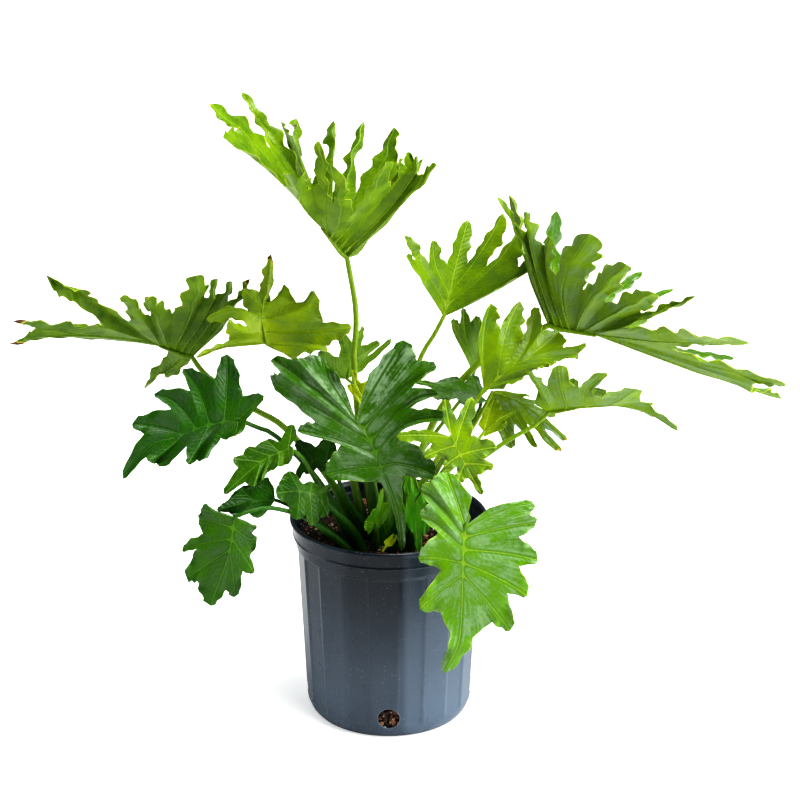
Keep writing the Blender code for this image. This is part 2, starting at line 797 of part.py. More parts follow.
def pot_outside():
    """The pot's outer profile from the top of the lip down to the floor's edge."""
    top = POT_HEIGHT
    return [
        (LIP_RADIUS - 0.0025, top),
        (LIP_RADIUS, top - 0.002),
        (LIP_RADIUS, top - 0.005),
        (LIP_RADIUS - 0.0025, top - LIP_DEPTH),
        (COLLAR_RADIUS, top - COLLAR_DEPTH + 0.003),
        (COLLAR_RADIUS + 0.0012, top - COLLAR_DEPTH + 0.0015),
        (COLLAR_RADIUS + 0.0006, top - COLLAR_DEPTH),
        (BAND_RADIUS, top - COLLAR_DEPTH - 0.0012),
        (BAND_RADIUS, top - BAND_DEPTH + 0.0018),
        (BODY_TOP_RADIUS, top - BAND_DEPTH),
        (wall_radius(top - BAND_DEPTH - 0.004), top - BAND_DEPTH - 0.004),
        (wall_radius(HEEL_HEIGHT + 0.004), HEEL_HEIGHT + 0.004),
        (HEEL_RADIUS - 0.0008, HEEL_HEIGHT - 0.003),
        (HEEL_RADIUS - 0.0045, HEEL_HEIGHT - 0.012),
        (FOOT_RADIUS, 0),
    ]


def pot_inside(gap, top, bottom):
    """The hollow's wall from the floor up to this height, drawn in by the gap."""
    shoulder = POT_HEIGHT - BAND_DEPTH
    wall = [
        (FOOT_RADIUS - WALL, bottom),
        (HEEL_RADIUS - WALL, HEEL_HEIGHT),
        (BODY_TOP_RADIUS - WALL, shoulder - 0.006),
        (BAND_RADIUS - WALL / 2, shoulder + 0.006),
    ]
    return [(radius - gap, height) for radius, height in wall if height < top]


def flute(pot):
    """Flattens the round body into panels and sets every second one back."""
    upper = POT_HEIGHT - BAND_DEPTH - 0.003
    panel = 2 * math.pi / PANELS
    for vertex in pot.data.vertices:
        radius = math.hypot(vertex.co.x, vertex.co.y)
        if not HEEL_HEIGHT - 0.001 < vertex.co.z < upper or radius < wall_radius(vertex.co.z) - WALL / 2:
            continue
        turn = (math.atan2(vertex.co.y, vertex.co.x) - PANEL_START) % (2 * math.pi) / panel
        halves = round(turn * 2)
        flat = math.cos(panel / 2) if halves % 2 else 1
        recess = PANEL_RECESS if halves % 4 == 3 else 0
        shrink = flat - recess / radius
        vertex.co.x *= shrink
        vertex.co.y *= shrink


def make_pot(parts, cutters):
    inner_top = (COLLAR_RADIUS - WALL / 2, POT_HEIGHT - LIP_DEPTH)
    lip_inside = (LIP_RADIUS - 0.005, POT_HEIGHT - 0.0005)
    profile = [(0, FLOOR)] + pot_inside(0, POT_HEIGHT, FLOOR) + [inner_top, lip_inside]
    pot = turned("pot", profile + pot_outside() + [(0, 0)], parts)
    flute(pot)
    for hole in range(DRAIN_HOLES):
        turn = math.tau * hole / DRAIN_HOLES
        bpy.ops.mesh.primitive_cylinder_add(vertices=20, radius=DRAIN_RADIUS, depth=0.03)
        cutter = bpy.context.object
        cutter.name = f"drain_cutter_{hole}"
        middle = HEEL_RADIUS - WALL / 2
        cutter.location = (middle * math.cos(turn), middle * math.sin(turn), DRAIN_HEIGHT)
        cutter.rotation_euler = (0, math.radians(90), turn)
        for owner in cutter.users_collection:
            owner.objects.unlink(cutter)
        cutters.objects.link(cutter)
        make_helper(cutter)
        add_boolean(pot, cutter, "DIFFERENCE")
    pot.data.materials.append(material("pot_plastic", (0.042, 0.050, 0.062, 1), 0.45))
    pot.data.shade_smooth()
    pot.data.set_sharp_from_angle(angle=math.radians(30))
    return pot


def soil_top(radius):
    return POT_HEIGHT - SOIL_BELOW_LIP + SOIL_MOUND * (1 - (radius / COLLAR_RADIUS) ** 2)


def make_soil(parts, stalk_cutters):
    edge = BAND_RADIUS - WALL / 2 - CLEARANCE - 0.0004
    rings = [edge * share for share in (1, 0.6, 0.25)]
    top = [(radius, soil_top(radius)) for radius in reversed(rings)]
    wall = pot_inside(CLEARANCE, soil_top(edge) - 0.004, FLOOR + CLEARANCE)
    profile = [(0, soil_top(0))] + top + list(reversed(wall)) + [(0, FLOOR + CLEARANCE)]
    soil = turned("soil", profile, parts)
    for cutter in stalk_cutters:
        add_boolean(soil, cutter, "DIFFERENCE")
    soil.data.materials.append(material("potting_soil", (0.020, 0.011, 0.007, 1), 0.95))
    return soil


def stalk_path(leaf, blade):
    """The stalk's points from its foot in the soil up to the blade, and on under the midrib."""
    turn, distance = leaf["root"]
    away = Vector((math.cos(math.radians(turn)), math.sin(math.radians(turn)), 0))
    ground = CROWN + away * distance * MILLIMETRE
    ground.z = soil_top(math.hypot(ground.x, ground.y))
    foot = ground - Vector((0, 0, FOOT_IN_SOIL))
    route = [ground] + [seen(*point) for point in reversed(leaf["stalk"])] + [seen(*leaf["junction"])]
    length = sum((b - a).length for a, b in zip(route, route[1:]))
    steps = max(FEWEST_STALK_STEPS, round(length / STALK_STEP))
    path = [foot] + [along(route, step / steps) for step in range(steps + 1)]
    under = along(blade.midrib, 0.12) - blade.normal * BLADE_THICKNESS * 0.6
    return path + [under, along(blade.midrib, 0.3)]


def make_tube(name, path, radii, collection):
    """A tapering tube with closed ends along the path, as a mesh."""
    curve = bpy.data.curves.new(name, "CURVE")
    curve.dimensions = "3D"
    curve.bevel_depth = MILLIMETRE
    curve.bevel_resolution = 1
    curve.use_fill_caps = True
    curve.twist_mode = "MINIMUM"
    spline = curve.splines.new("POLY")
    spline.points.add(len(path) - 1)
    for point, place, radius in zip(spline.points, path, radii):
        point.co = (*place, 1)
        point.radius = radius
    source = bpy.data.objects.new(name, curve)
    collection.objects.link(source)
    return evaluated_copy(source, name, collection)


def stalk_radii(leaf, count):
    """The radius in millimetres at each point of the path: even to the junction, then down to a fine rib."""
    base, end = leaf["stalk_radius"]
    stem = count - 3
    radii = [base] + [base + (end - base) * step / stem for step in range(stem + 1)]
    return radii[:-1] + [end * 0.62, end * 0.25]


def make_blade(leaf, blade, collection):
    """The blade: an open triangulated surface made solid."""
    bm = bmesh.new()
    rows_to_tip = ROWS_TO_TIP if blade.pairs > SMALL_LEAF_PAIRS else SMALL_LEAF_ROWS_TO_TIP
    for grid in blade.grids(ROWS_TO_NOTCH, rows_to_tip, COLUMNS):
        rows = [[bm.verts.new(point) for point in row] for row in grid]
        for row, following in zip(rows, rows[1:]):
            for a, b, c, d in zip(row, row[1:], following[1:], following):
                bm.faces.new((a, b, c, d))
    bmesh.ops.remove_doubles(bm, verts=bm.verts, dist=0.00002)
    bmesh.ops.triangulate(bm, faces=bm.faces)
    bmesh.ops.recalc_face_normals(bm, faces=bm.faces)
    source = object_from(bm, leaf["name"], collection)
    solid = source.modifiers.new("Solidify", "SOLIDIFY")
    solid.thickness = BLADE_THICKNESS
    solid.offset = 0
    return evaluated_copy(source, leaf["name"], collection)


def without_slivers(made):
    """Draws together the points and faces that the union left closer than the shortest edge."""
    bm = bmesh.new()
    bm.from_mesh(made.data)
    bmesh.ops.dissolve_degenerate(bm, dist=SHORTEST_EDGE, edges=bm.edges)
    bmesh.ops.triangulate(bm, faces=bm.faces)
    bm.to_mesh(made.data)
    bm.free()


def make_leaf(leaf, parts, cutters):
    """The leaf as one solid. Returns the cutter for its stalk's hole in the soil."""
    blade = Blade(leaf)
    path = stalk_path(leaf, blade)
    stalk = make_tube(leaf["name"] + "_stalk", path, stalk_radii(leaf, len(path)), parts)
    made = make_blade(leaf, blade, parts)
    add_boolean(made, stalk, "UNION", "MANIFOLD")
    made = evaluated_copy(made, leaf["name"], parts)
    without_slivers(made)
    bpy.data.objects.remove(stalk)
    made.data.materials.clear()
    made.data.materials.append(material(leaf["name"], leaf["colour"], 0.4))
    made.data.shade_smooth()
    made.data.set_sharp_from_angle(angle=math.radians(50))
    hole_path = [path[0] - Vector((0, 0, HOLE_CLEARANCE))] + path[1:3]
    hole_radius = leaf["stalk_radius"][0] + HOLE_CLEARANCE / MILLIMETRE
    hole = make_tube(leaf["name"] + "_hole", hole_path, [hole_radius] * len(hole_path), cutters)
    make_helper(hole)
    return hole


def main():
    for existing in list(bpy.data.objects):
        bpy.data.objects.remove(existing)
    parts = collection_named("potted_philodendron")
    cutters = collection_named("cutters")
    holes = [make_leaf(leaf, parts, cutters) for leaf in LEAVES]
    make_soil(parts, holes)
    make_pot(parts, cutters)


main()
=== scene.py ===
"""A lacy tree philodendron in a nursery pot: its finish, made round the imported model. Metres, +Z up."""

import math
import random

import bmesh
import bpy
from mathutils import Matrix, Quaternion, Vector, noise


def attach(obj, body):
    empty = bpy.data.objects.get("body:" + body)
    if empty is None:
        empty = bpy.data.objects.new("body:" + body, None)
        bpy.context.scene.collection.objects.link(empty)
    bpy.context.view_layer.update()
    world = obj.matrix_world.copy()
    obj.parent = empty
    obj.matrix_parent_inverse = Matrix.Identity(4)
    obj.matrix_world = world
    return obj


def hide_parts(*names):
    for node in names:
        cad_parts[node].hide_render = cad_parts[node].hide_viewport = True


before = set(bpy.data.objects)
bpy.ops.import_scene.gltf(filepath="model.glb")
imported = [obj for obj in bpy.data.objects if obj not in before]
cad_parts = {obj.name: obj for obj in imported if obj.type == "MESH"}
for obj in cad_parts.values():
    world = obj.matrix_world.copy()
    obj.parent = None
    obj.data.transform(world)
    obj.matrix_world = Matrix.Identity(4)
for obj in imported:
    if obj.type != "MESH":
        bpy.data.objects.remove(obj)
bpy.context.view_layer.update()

# The camera stands about three metres in front of the pot and a metre and a half above the floor, and looks
# down. Every leaf is placed through this view, so its place and angle are set first.
EYE = Vector((0.0143, -2.949, 1.5226))
EYE_DIP = math.radians(20.44)
EYE_FOCUS = 2500
VIEW_SIZE = 800
SENSOR = 36


def in_scene(name, data):
    """A new object of this mesh, light or camera data, put in the scene."""
    made = bpy.data.objects.new(name, data)
    bpy.context.scene.collection.objects.link(made)
    return made


camera_data = bpy.data.cameras.new("camera")
camera_data.sensor_width = SENSOR
camera_data.lens = EYE_FOCUS * SENSOR / VIEW_SIZE
camera_data.clip_end = 60
camera = in_scene("camera", camera_data)
camera.location = EYE
camera.rotation_euler = (math.radians(90) - EYE_DIP, 0, 0)
bpy.context.scene.camera = camera

# The pot is one piece of blow-moulded black polyethylene: a rolled lip over two stepped bands, twenty flat
# panels round the body with every second one set back, a chamfered heel and four round drain holes.
# The plastic is satin black with fine mould lines, under a bluish film, part dust and part painted sheen.
LIP_RADIUS = 0.127
POT_HEIGHT = 0.2676
LIP_DEPTH = 0.0065
COLLAR_DEPTH = 0.024
BAND_DEPTH = 0.039
COLLAR_RADIUS = 0.1225
BAND_RADIUS = 0.1195
BODY_TOP_RADIUS = 0.1175
HEEL_RADIUS = 0.107
HEEL_HEIGHT = 0.018
FOOT_RADIUS = 0.0975
WALL = 0.0045
FLOOR = 0.0025
PANELS = 20
PANEL_TURN = math.radians(6)
PANEL_RECESS = 0.0011
PANEL_SLOPE = 0.22
PANEL_FOOT = 0.009
PANEL_HEAD = 0.003
TURN_STEPS = 360
DRAIN_HOLES = 4
DRAIN_RADIUS = 0.014
DRAIN_HEIGHT = 0.0295
DRAIN_SIDES = 40
PLUG_LENGTH = 0.03
SHARP_ANGLE = math.radians(38)
BARE_PLASTIC = (0.005, 0.009, 0.014, 1)
# The film's colour, for dust and for the painted sheen of the lamps and the floor.
DUST_AND_SHEEN = (0.112, 0.152, 0.202, 1)
PALE_DUST = (0.26, 0.29, 0.33, 1)


def wall_radius(height):
    """The pot's outer radius under its bands."""
    share = (height - HEEL_HEIGHT) / (POT_HEIGHT - BAND_DEPTH - HEEL_HEIGHT)
    return HEEL_RADIUS + (BODY_TOP_RADIUS - HEEL_RADIUS) * share


def rounded(profile, radius, steps=3):
    """The profile with each inner corner eased by up to this radius."""
    eased = [profile[0]]
    for before, corner, after in zip(profile, profile[1:], profile[2:]):
        a, b, c = Vector(before), Vector(corner), Vector(after)
        back = b + (a - b).normalized() * min(radius, (a - b).length * 0.45)
        ahead = b + (c - b).normalized() * min(radius, (c - b).length * 0.45)
        for step in range(steps + 1):
            u = step / steps
            eased.append(tuple(back * (1 - u) ** 2 + b * 2 * u * (1 - u) + ahead * u**2))
    return eased + [profile[-1]]


def settled(source, name):
    """A plain mesh object of what the source's modifiers make, its doubles merged. The source is removed."""
    bpy.context.view_layer.update()
    mesh = bpy.data.meshes.new_from_object(source.evaluated_get(bpy.context.evaluated_depsgraph_get()))
    bm = bmesh.new()
    bm.from_mesh(mesh)
    bmesh.ops.remove_doubles(bm, verts=bm.verts, dist=0.000004)
    bm.to_mesh(mesh)
    bm.free()
    bpy.data.objects.remove(source)
    return in_scene(name, mesh)


def piece_from(name, bm):
    """A plain mesh object of the faces in hand, which are let go."""
    mesh = bpy.data.meshes.new(name)
    bm.to_mesh(mesh)
    bm.free()
    return in_scene(name, mesh)


def turned(name, profile, steps):
    """A solid turned about the Z axis from a profile of (radius, height) points.

    The profile ends down the outer side.
    """
    mesh = bpy.data.meshes.new(name)
    mesh.from_pydata([(x, 0, z) for x, z in profile], [(i, i + 1) for i in range(len(profile) - 1)], [])
    source = in_scene(name, mesh)
    screw = source.modifiers.new("turn", "SCREW")
    screw.steps = steps
    screw.render_steps = steps
    screw.use_merge_vertices = True
    screw.merge_threshold = 0.00001
    return settled(source, name)


def node_tree(name, kind, inputs, outputs):
    """A node tree with named sockets. Returns it with its input and output nodes."""
    tree = bpy.data.node_groups.new(name, kind)
    for label, socket_type, value in inputs:
        socket = tree.interface.new_socket(label, in_out="INPUT", socket_type=socket_type)
        if value is not None:
            socket.default_value = value
    for label, socket_type in outputs:
        tree.interface.new_socket(label, in_out="OUTPUT", socket_type=socket_type)
    return tree, tree.nodes.new("NodeGroupInput"), tree.nodes.new("NodeGroupOutput")


def placed(tree, kind, inputs=None, **settings):
    """Places one node, sets its properties, and sets or links its inputs by name or number."""
    node = tree.nodes.new(kind)
    for key, value in settings.items():
        setattr(node, key, value)
    for key, value in (inputs or {}).items():
        if isinstance(value, bpy.types.NodeSocket):
            tree.links.new(value, node.inputs[key])
        else:
            node.inputs[key].default_value = value
    return node


def calculator(tree):
    """A function that places a Math node in the tree and returns its result."""

    def result(operation, *values):
        node = placed(tree, "ShaderNodeMath", dict(enumerate(values)), operation=operation)
        return node.outputs[0]

    return result


def eased_step(tree, value, low, high):
    """0 below the low end, 1 above the high end, eased between."""
    ranged = placed(
        tree,
        "ShaderNodeMapRange",
        {"Value": value, "From Min": low, "From Max": high},
        interpolation_type="SMOOTHSTEP",
    )
    return ranged.outputs[0]


def mixed(tree, share, first, second):
    """The colour this share of the way from the first to the second."""
    return placed(tree, "ShaderNodeMix", {"Factor": share, 6: first, 7: second}, data_type="RGBA").outputs[2]


def finish_named(name):
    """A new material, with its node tree and its shader."""
    made = bpy.data.materials.new(name)
    made.use_nodes = True
    return made, made.node_tree, made.node_tree.nodes["Principled BSDF"]


def raised(tree, shader, height, depth, strength):
    """Gives the shader a relief, this deep, from a pattern of heights."""
    relief = placed(tree, "ShaderNodeBump", {"Height": height, "Distance": depth, "Strength": strength})
    tree.links.new(relief.outputs[0], shader.inputs["Normal"])


def run_nodes(source, tree, values, name):
    """The mesh that a geometry node tree makes of the source, with its named inputs set."""
    modifier = source.modifiers.new(tree.name, "NODES")
    modifier.node_group = tree
    for item in tree.interface.items_tree:
        if item.in_out == "INPUT" and item.name in values:
            modifier[item.identifier] = values[item.name]
    return settled(source, name)


def flute_tree():
    """Flattens a round wall into panels, and sets every second panel back."""
    tree, given, made = node_tree(
        "flutes",
        "GeometryNodeTree",
        [
            ("Geometry", "NodeSocketGeometry", None),
            ("Panels", "NodeSocketFloat", 20.0),
            ("Turn", "NodeSocketFloat", 0.0),
            ("Recess", "NodeSocketFloat", 0.001),
            ("Bottom", "NodeSocketFloat", 0.0),
            ("Top", "NodeSocketFloat", 1.0),
            ("Inner Radius", "NodeSocketFloat", 0.1),
            ("Flare", "NodeSocketFloat", 0.05),
        ],
        [("Geometry", "NodeSocketGeometry")],
    )
    result = calculator(tree)
    place = placed(tree, "GeometryNodeInputPosition").outputs[0]
    split = placed(tree, "ShaderNodeSeparateXYZ", {0: place})
    across, back, height = split.outputs
    radius = result("SQRT", result("ADD", result("POWER", across, 2.0), result("POWER", back, 2.0)))
    turn = result("SUBTRACT", result("ARCTAN2", back, across), given.outputs["Turn"])
    panel = result("DIVIDE", math.tau, given.outputs["Panels"])
    place_in_turn = result("ADD", result("DIVIDE", turn, panel), given.outputs["Panels"])
    local = result("SUBTRACT", result("FRACT", place_in_turn), 0.5)
    flat = result(
        "DIVIDE",
        result("COSINE", result("MULTIPLY", panel, 0.5)),
        result("COSINE", result("MULTIPLY", panel, local)),
    )
    from_seam = result("SUBTRACT", 1.0, result("MULTIPLY", result("ABSOLUTE", local), 2.0))
    second = result("GREATER_THAN", result("FRACT", result("MULTIPLY", place_in_turn, 0.5)), 0.5)
    set_back = result("MULTIPLY", eased_step(tree, from_seam, 0.0, PANEL_SLOPE), second)
    set_back = result("DIVIDE", result("MULTIPLY", set_back, given.outputs["Recess"]), radius)
    change = result("SUBTRACT", result("SUBTRACT", flat, set_back), 1.0)
    bottom, top = given.outputs["Bottom"], given.outputs["Top"]
    above = eased_step(tree, height, bottom, result("ADD", bottom, PANEL_FOOT))
    below = eased_step(tree, height, top, result("SUBTRACT", top, PANEL_HEAD))
    least = result("ADD", given.outputs["Inner Radius"], result("MULTIPLY", height, given.outputs["Flare"]))
    outside = result("GREATER_THAN", radius, least)
    change = result("MULTIPLY", result("MULTIPLY", change, result("MULTIPLY", above, below)), outside)
    scale = result("ADD", change, 1.0)
    moved = placed(
        tree,
        "ShaderNodeCombineXYZ",
        {0: result("MULTIPLY", across, scale), 1: result("MULTIPLY", back, scale), 2: height},
    )
    before = given.outputs["Geometry"]
    shaped = placed(tree, "GeometryNodeSetPosition", {"Geometry": before, "Position": moved.outputs[0]})
    tree.links.new(shaped.outputs[0], made.inputs[0])
    return tree


def pot_profile():
    """The pot's section from the middle of its floor, up the inside, over the lip and down the outside."""
    shoulder = POT_HEIGHT - BAND_DEPTH
    inside = [
        (0, FLOOR),
        (FOOT_RADIUS - WALL, FLOOR),
        (HEEL_RADIUS - WALL, HEEL_HEIGHT),
        (BODY_TOP_RADIUS - WALL, shoulder - 0.006),
        (BAND_RADIUS - WALL / 2, shoulder + 0.006),
        (COLLAR_RADIUS - WALL / 2 - 0.0006, POT_HEIGHT - 0.016),
        (COLLAR_RADIUS - WALL / 2 + 0.0004, POT_HEIGHT - 0.0145),
        (COLLAR_RADIUS - WALL / 2, POT_HEIGHT - LIP_DEPTH),
        (LIP_RADIUS - 0.005, POT_HEIGHT - 0.0005),
    ]
    top = POT_HEIGHT
    outside = [
        (LIP_RADIUS - 0.0025, top),
        (LIP_RADIUS, top - 0.002),
        (LIP_RADIUS, top - 0.005),
        (LIP_RADIUS - 0.0025, top - LIP_DEPTH),
        (COLLAR_RADIUS, top - LIP_DEPTH - 0.001),
        (COLLAR_RADIUS, top - COLLAR_DEPTH + 0.003),
        (COLLAR_RADIUS + 0.0012, top - COLLAR_DEPTH + 0.0015),
        (COLLAR_RADIUS + 0.0006, top - COLLAR_DEPTH),
        (BAND_RADIUS, top - COLLAR_DEPTH - 0.0012),
        (BAND_RADIUS, top - BAND_DEPTH + 0.0018),
        (BODY_TOP_RADIUS, top - BAND_DEPTH),
    ]
    body = [top - BAND_DEPTH - step for step in (0.002, 0.003, 0.004, 0.005, 0.006, 0.008, 0.05, 0.1, 0.15)]
    body += [HEEL_HEIGHT + step for step in (0.012, 0.009, 0.006, 0.004, 0.002)]
    heel = [
        (HEEL_RADIUS - 0.0008, HEEL_HEIGHT - 0.003),
        (HEEL_RADIUS - 0.0045, HEEL_HEIGHT - 0.012),
        (FOOT_RADIUS, 0),
        (0, 0),
    ]
    return rounded(inside + outside, 0.0012) + [(wall_radius(z), z) for z in body] + rounded(heel, 0.0015)


def plastic_material():
    """Dark satin plastic with mould lines, pale specks and dust, and a bluish painted sheen, stronger low
    down and at the right.
    """
    made, tree, shader = finish_named("pot_plastic")
    result = calculator(tree)
    where = placed(tree, "ShaderNodeTexCoord").outputs["Object"]
    drawn = placed(tree, "ShaderNodeMapping", {"Vector": where, "Scale": (1, 1, 0.04)}).outputs[0]
    streaks = placed(tree, "ShaderNodeTexNoise", {"Vector": drawn, "Scale": 900.0, "Detail": 2.0}).outputs[0]
    cloud = placed(tree, "ShaderNodeTexNoise", {"Vector": where, "Scale": 16.0, "Detail": 5.0}).outputs[0]
    specks = placed(tree, "ShaderNodeTexVoronoi", {"Vector": where, "Scale": 210.0, "Randomness": 1.0})

    # Pale specks, where some cells of the pattern have one at their middle.
    chosen = placed(tree, "ShaderNodeSeparateColor", {"Color": specks.outputs["Color"]}).outputs[0]
    speck = result("SUBTRACT", 1.0, eased_step(tree, specks.outputs["Distance"], 0.08, 0.2))
    speck = result("MULTIPLY", speck, result("GREATER_THAN", chosen, 0.60))
    speck = result("MULTIPLY", speck, eased_step(tree, cloud, 0.36, 0.58))

    # A scuffed edge round each drain hole.
    across, back, height = placed(tree, "ShaderNodeSeparateXYZ", {0: where}).outputs
    aside = result("MINIMUM", result("ABSOLUTE", across), result("ABSOLUTE", back))
    rise = result("SUBTRACT", height, DRAIN_HEIGHT)
    from_hole = result("SQRT", result("ADD", result("POWER", aside, 2.0), result("MULTIPLY", rise, rise)))
    beyond_hole = eased_step(tree, from_hole, DRAIN_RADIUS + 0.0002, DRAIN_RADIUS + 0.0012)
    scuffed = result("SUBTRACT", 1.0, beyond_hole)

    # The bluish film, dust and painted sheen: a painted reflection of the floor low down, broken up in
    # clouds, painted light at the right and a little at the left, and dust along the mould lines.
    low = result("SUBTRACT", 1.0, eased_step(tree, height, 0.02, POT_HEIGHT - COLLAR_DEPTH))
    sheen_and_dust = result("MULTIPLY", low, result("ADD", 0.34, result("MULTIPLY", cloud, 0.3)))
    # The right side, and a little of the left, is painted lighter as if lit by the side lamps.
    right = eased_step(tree, across, 0.014, 0.026)
    left = result("MULTIPLY", eased_step(tree, result("MULTIPLY", across, -1.0), 0.045, 0.062), 0.3)
    sheen_and_dust = result("ADD", sheen_and_dust, result("MULTIPLY", result("ADD", right, left), 0.36))
    sheen_and_dust = result("ADD", sheen_and_dust, result("MULTIPLY", eased_step(tree, streaks, 0.5, 0.8), 0.07))

    pale = result("MAXIMUM", result("MULTIPLY", speck, 0.5), result("MULTIPLY", scuffed, 0.4))
    colour = mixed(tree, pale, mixed(tree, sheen_and_dust, BARE_PLASTIC, DUST_AND_SHEEN), PALE_DUST)
    shader.inputs["Specular IOR Level"].default_value = 0.3
    tree.links.new(colour, shader.inputs["Base Color"])
    tree.links.new(result("ADD", 0.22, result("MULTIPLY", cloud, 0.12)), shader.inputs["Roughness"])
    raised(tree, shader, streaks, 0.0003, 0.35)
    return made


def drain_cutter():
    """Four round plugs across the wall, one for each drain hole."""
    plugs = bmesh.new()
    for hole in range(DRAIN_HOLES):
        turn = math.tau * hole / DRAIN_HOLES
        plug = bmesh.ops.create_cone(
            plugs,
            segments=DRAIN_SIDES,
            radius1=DRAIN_RADIUS,
            radius2=DRAIN_RADIUS,
            depth=PLUG_LENGTH,
            cap_ends=True,
        )
        for vertex in plug["verts"]:
            out = vertex.co.z + HEEL_RADIUS - WALL / 2
            side = vertex.co.y
            vertex.co = (
                out * math.cos(turn) - side * math.sin(turn),
                out * math.sin(turn) + side * math.cos(turn),
                vertex.co.x + DRAIN_HEIGHT,
            )
    bmesh.ops.recalc_face_normals(plugs, faces=plugs.faces)
    return piece_from("drain_cutter", plugs)


def make_pot():
    """The turned shell, its wall flattened into panels and its drain holes cut."""
    pot = turned("pot_shell", pot_profile(), TURN_STEPS)
    sizes = {
        "Panels": float(PANELS),
        "Turn": PANEL_TURN,
        "Recess": PANEL_RECESS,
        "Bottom": HEEL_HEIGHT - 0.004,
        "Top": POT_HEIGHT - BAND_DEPTH - 0.001,
        "Inner Radius": wall_radius(0) - WALL / 2,
        "Flare": (BODY_TOP_RADIUS - HEEL_RADIUS) / (POT_HEIGHT - BAND_DEPTH - HEEL_HEIGHT),
    }
    pot = run_nodes(pot, flute_tree(), sizes, "pot_fluted")
    cutter = drain_cutter()
    boolean = pot.modifiers.new("drains", "BOOLEAN")
    boolean.operation = "DIFFERENCE"
    boolean.object = cutter
    boolean.solver = "MANIFOLD"
    pot = settled(pot, "nursery_pot")
    bpy.data.objects.remove(cutter)
    pot.data.materials.clear()
    pot.data.materials.append(plastic_material())
    pot.data.shade_smooth()
    pot.data.set_sharp_from_angle(angle=SHARP_ANGLE)
    return pot


nursery_pot = make_pot()
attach(nursery_pot, "root")
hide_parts("pot")

# The potting mix is dark, damp peat and fine crumb with flat chips of reddish bark lying every way in it,
# and a few white grains of perlite. It fills the pot to a thumb's width below the lip, a little higher in
# the middle, and shows again as packed chips in the four drain holes.
SOIL_BELOW_LIP = 0.027
SOIL_MOUND = 0.004
SOIL_RINGS = 40
SOIL_SIDES = 120
PATCH_SIDES = 24
LUMP_HEIGHT = 0.0035
LUMPS_A_METRE = 70
CRUMB_HEIGHT = 0.0016
CRUMBS_A_METRE = 240
CHIP_UNEVENNESS = 0.28
CLEARANCE = 0.0003
PEAT = [(0.0, (0.004, 0.0025, 0.002)), (1.0, (0.020, 0.013, 0.009))]
BARK = [
    (0.0, (0.008, 0.004, 0.002)), (0.95, (0.42, 0.28, 0.17)),
    (0.45, (0.050, 0.017, 0.008)), (0.75, (0.17, 0.062, 0.025)),
]
PERLITE = [(0.0, (0.55, 0.53, 0.48)), (1.0, (0.85, 0.84, 0.80))]


def soil_top(radius):
    """The height of the plain surface, this far from the pot's axis."""
    return POT_HEIGHT - SOIL_BELOW_LIP + SOIL_MOUND * (1 - (radius / COLLAR_RADIUS) ** 2)


def soil_body():
    """The filling, with its top roughened by noise."""
    edge = BAND_RADIUS - WALL / 2 - CLEARANCE - 0.0004
    radii = [edge * step / SOIL_RINGS for step in range(SOIL_RINGS + 1)]
    top = [(radius, soil_top(radius)) for radius in radii]
    side = [
        (BODY_TOP_RADIUS - WALL - CLEARANCE, POT_HEIGHT - BAND_DEPTH - 0.006),
        (HEEL_RADIUS - WALL - CLEARANCE, HEEL_HEIGHT),
        (FOOT_RADIUS - WALL - CLEARANCE, FLOOR + CLEARANCE),
        (0, FLOOR + CLEARANCE),
    ]
    body = turned("soil_body", top + side, SOIL_SIDES)
    for vertex in body.data.vertices:
        if vertex.co.z > POT_HEIGHT - SOIL_BELOW_LIP - 0.001:
            lump = noise.noise(vertex.co * LUMPS_A_METRE) * LUMP_HEIGHT
            vertex.co.z += lump + noise.noise(vertex.co * CRUMBS_A_METRE) * CRUMB_HEIGHT
    return body


def chip(name, length, width, thickness, seed):
    """One chip or grain: a few-faced lump."""
    bm = bmesh.new()
    bmesh.ops.create_icosphere(bm, subdivisions=1, radius=0.5)
    chance = random.Random(seed)
    for vertex in bm.verts:
        push = 1 + chance.uniform(-CHIP_UNEVENNESS, CHIP_UNEVENNESS)
        vertex.co = (vertex.co.x * length * push, vertex.co.y * width * push, vertex.co.z * thickness * push)
    return piece_from(name, bm)


